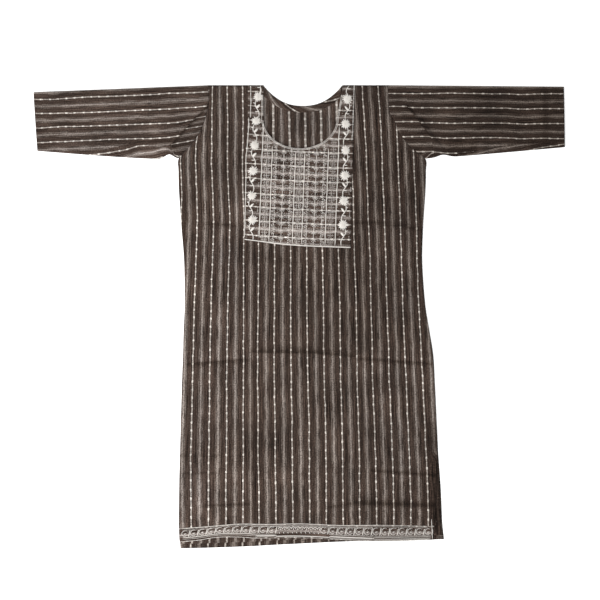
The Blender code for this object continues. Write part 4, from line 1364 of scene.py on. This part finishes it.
LEFT_STRIPES = SleeveStripes(
    lines=(
        (-536.0, 920.5, 892.0, 861.4, 831.7, 801.8),
        (-503.0, 920.3, 891.4, 863.6, 833.5, 803.5),
        (-487.0, 921.5, 891.8, 864.3, 833.9, 804.0),
        (-438.0, 925.2, 893.2, 865.5, 835.8, 806.0),
        (-372.0, 927.2, 896.3, 867.8, 839.1, 809.0),
        (-306.5, 930.3, 899.1, 870.2, 840.1, 811.0),
        (-257.0, 933.2, 901.4, 872.7, 844.0, 814.0),
        (-224.5, 934.0, 903.6, 877.6, 848.0, 818.0),
        (-186.0, 936.3, 907.0, 880.0, 851.0, 821.0),
    ),
    band_shift=0.01,
    tuck=((-187.0, 910.0), (-265.0, 826.0)),
    beside=((826.4, 4.5), (838.7, 4.0), (852.6, 3.5), (865.1, 3.0), (883.3, 2.0), (905.3, 1.0)),
    beside_at=-205.0, beside_slope=0.19,
    turned=((-430.0, 806.0), (-400.0, 809.8), (-373.0, 813.9), (-348.5, 819.0), (-332.0, 824.1),
            (-307.5, 826.2), (-264.5, 831.3), (-260.0, 809.8), (-247.0, 802.3)),
    fold=((-431.0, 760.0), (-430.0, 811.0), (-389.5, 819.0), (-373.0, 823.1), (-361.0, 827.2),
          (-338.0, 831.3), (-313.0, 833.0), (-307.5, 822.0), (-288.0, 821.5), (-264.0, 827.5),
          (-263.9, 760.0), (-260.0, 760.0),
          (-259.9, 813.0), (-247.0, 813.0), (-246.9, 760.0)),
)
RIGHT_STRIPES = SleeveStripes(
    lines=(
        (222.0, 932.1, 904.1, 872.7, 841.9, 813.0),
        (271.6, 932.5, 903.2, 872.1, 842.4, 813.0),
        (304.4, 933.2, 903.2, 871.5, 840.9, 810.4),
        (370.0, 932.1, 903.0, 872.1, 842.1, 812.8),
        (419.0, 931.7, 902.4, 871.5, 841.9, 812.6),
        (452.0, 930.5, 900.4, 869.8, 839.9, 810.6),
        (493.0, 931.7, 901.6, 870.6, 840.5, 810.7),
        (538.0, 931.7, 901.4, 870.6, 840.3, 810.7),
    ),
    band_shift=0.038,
    tuck=((218.0, 909.0), (272.0, 838.0)),
    beside=((813.4, 4.0), (843.6, 3.0), (874.3, 2.0), (905.7, 1.0), (931.9, 0.0)),
    beside_at=215.0, beside_slope=0.0,
    turned=((255.0, 797.5), (277.0, 812.0), (328.0, 785.6), (348.5, 791.6), (369.0, 796.2),
            (389.5, 801.3), (410.0, 805.4), (434.6, 809.0), (455.0, 812.2), (471.5, 816.2),
            (502.0, 822.5), (541.0, 828.2)),
    fold=((252.0, 760.0), (252.1, 811.5), (277.0, 811.5), (277.1, 760.0), (321.0, 760.0),
          (324.0, 811.9), (348.5, 812.8), (369.0, 817.0), (389.5, 821.4), (410.0, 824.4),
          (434.6, 826.6), (455.0, 828.6), (502.0, 830.2), (541.0, 833.3)),
)


def make_floor():
    bpy.ops.mesh.primitive_plane_add(size=8.0, location=(0.0, 0.0, -0.2 * MM))
    floor = bpy.context.object
    floor.name = "floor"
    floor.data.materials.append(smooth_paper("pale_floor"))


# The camera looks straight down. Its height follows from how much of the floor it takes in.
LENS = 85.0
FILM = 36.0
VIEW_WIDTH = 1230.0
VIEW_MIDDLE = 34.5  # how far up it looks from the middle of the tunic


def add_light(name, place_at, size, power):
    """A round soft light that points at the middle of the tunic."""
    light = bpy.data.lights.new(name, "AREA")
    light.shape = "DISK"
    light.size = size
    light.energy = power
    lamp = bpy.data.objects.new(name, light)
    lamp.location = place_at
    lamp.rotation_euler = (-Vector(place_at)).to_track_quat("-Z", "Y").to_euler()
    bpy.context.scene.collection.objects.link(lamp)


def make_studio():
    add_light("key", (-1.5, -0.9, 1.1), 0.8, 56.0)
    add_light("overhead", (-0.9, 0.1, 3.4), 2.0, 66.0)
    world = bpy.data.worlds.new("studio")
    world.use_nodes = True
    background = world.node_tree.nodes["Background"]
    background.inputs["Color"].default_value = (1.0, 1.0, 1.0, 1.0)
    background.inputs["Strength"].default_value = 0.36
    bpy.context.scene.world = world
    bpy.context.scene.view_settings.view_transform = "Standard"
    camera = bpy.data.cameras.new("camera")
    camera.lens = LENS
    camera.sensor_width = FILM
    eye = bpy.data.objects.new("camera", camera)
    eye.location = (0.0, VIEW_MIDDLE * MM, VIEW_WIDTH * MM * LENS / FILM)
    bpy.context.scene.collection.objects.link(eye)
    bpy.context.scene.camera = eye


def main():
    make_floor()
    make_back()
    border_grid, yoke_grid = make_front()
    make_border(border_grid)
    make_yoke(yoke_grid)
    make_facing()
    make_sleeve("left_sleeve_cloth", "sleeve_left", -1, LEFT_SLEEVE, LEFT_SLEEVE_CREASES,
                LEFT_STRIPES, left_sleeve_painted_light, COTTON_LEFT_SLEEVE)
    make_sleeve("right_sleeve_cloth", "sleeve_right", 1, RIGHT_SLEEVE, RIGHT_SLEEVE_CREASES,
                RIGHT_STRIPES, right_sleeve_painted_shade, COTTON)
    make_studio()
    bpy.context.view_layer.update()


main()
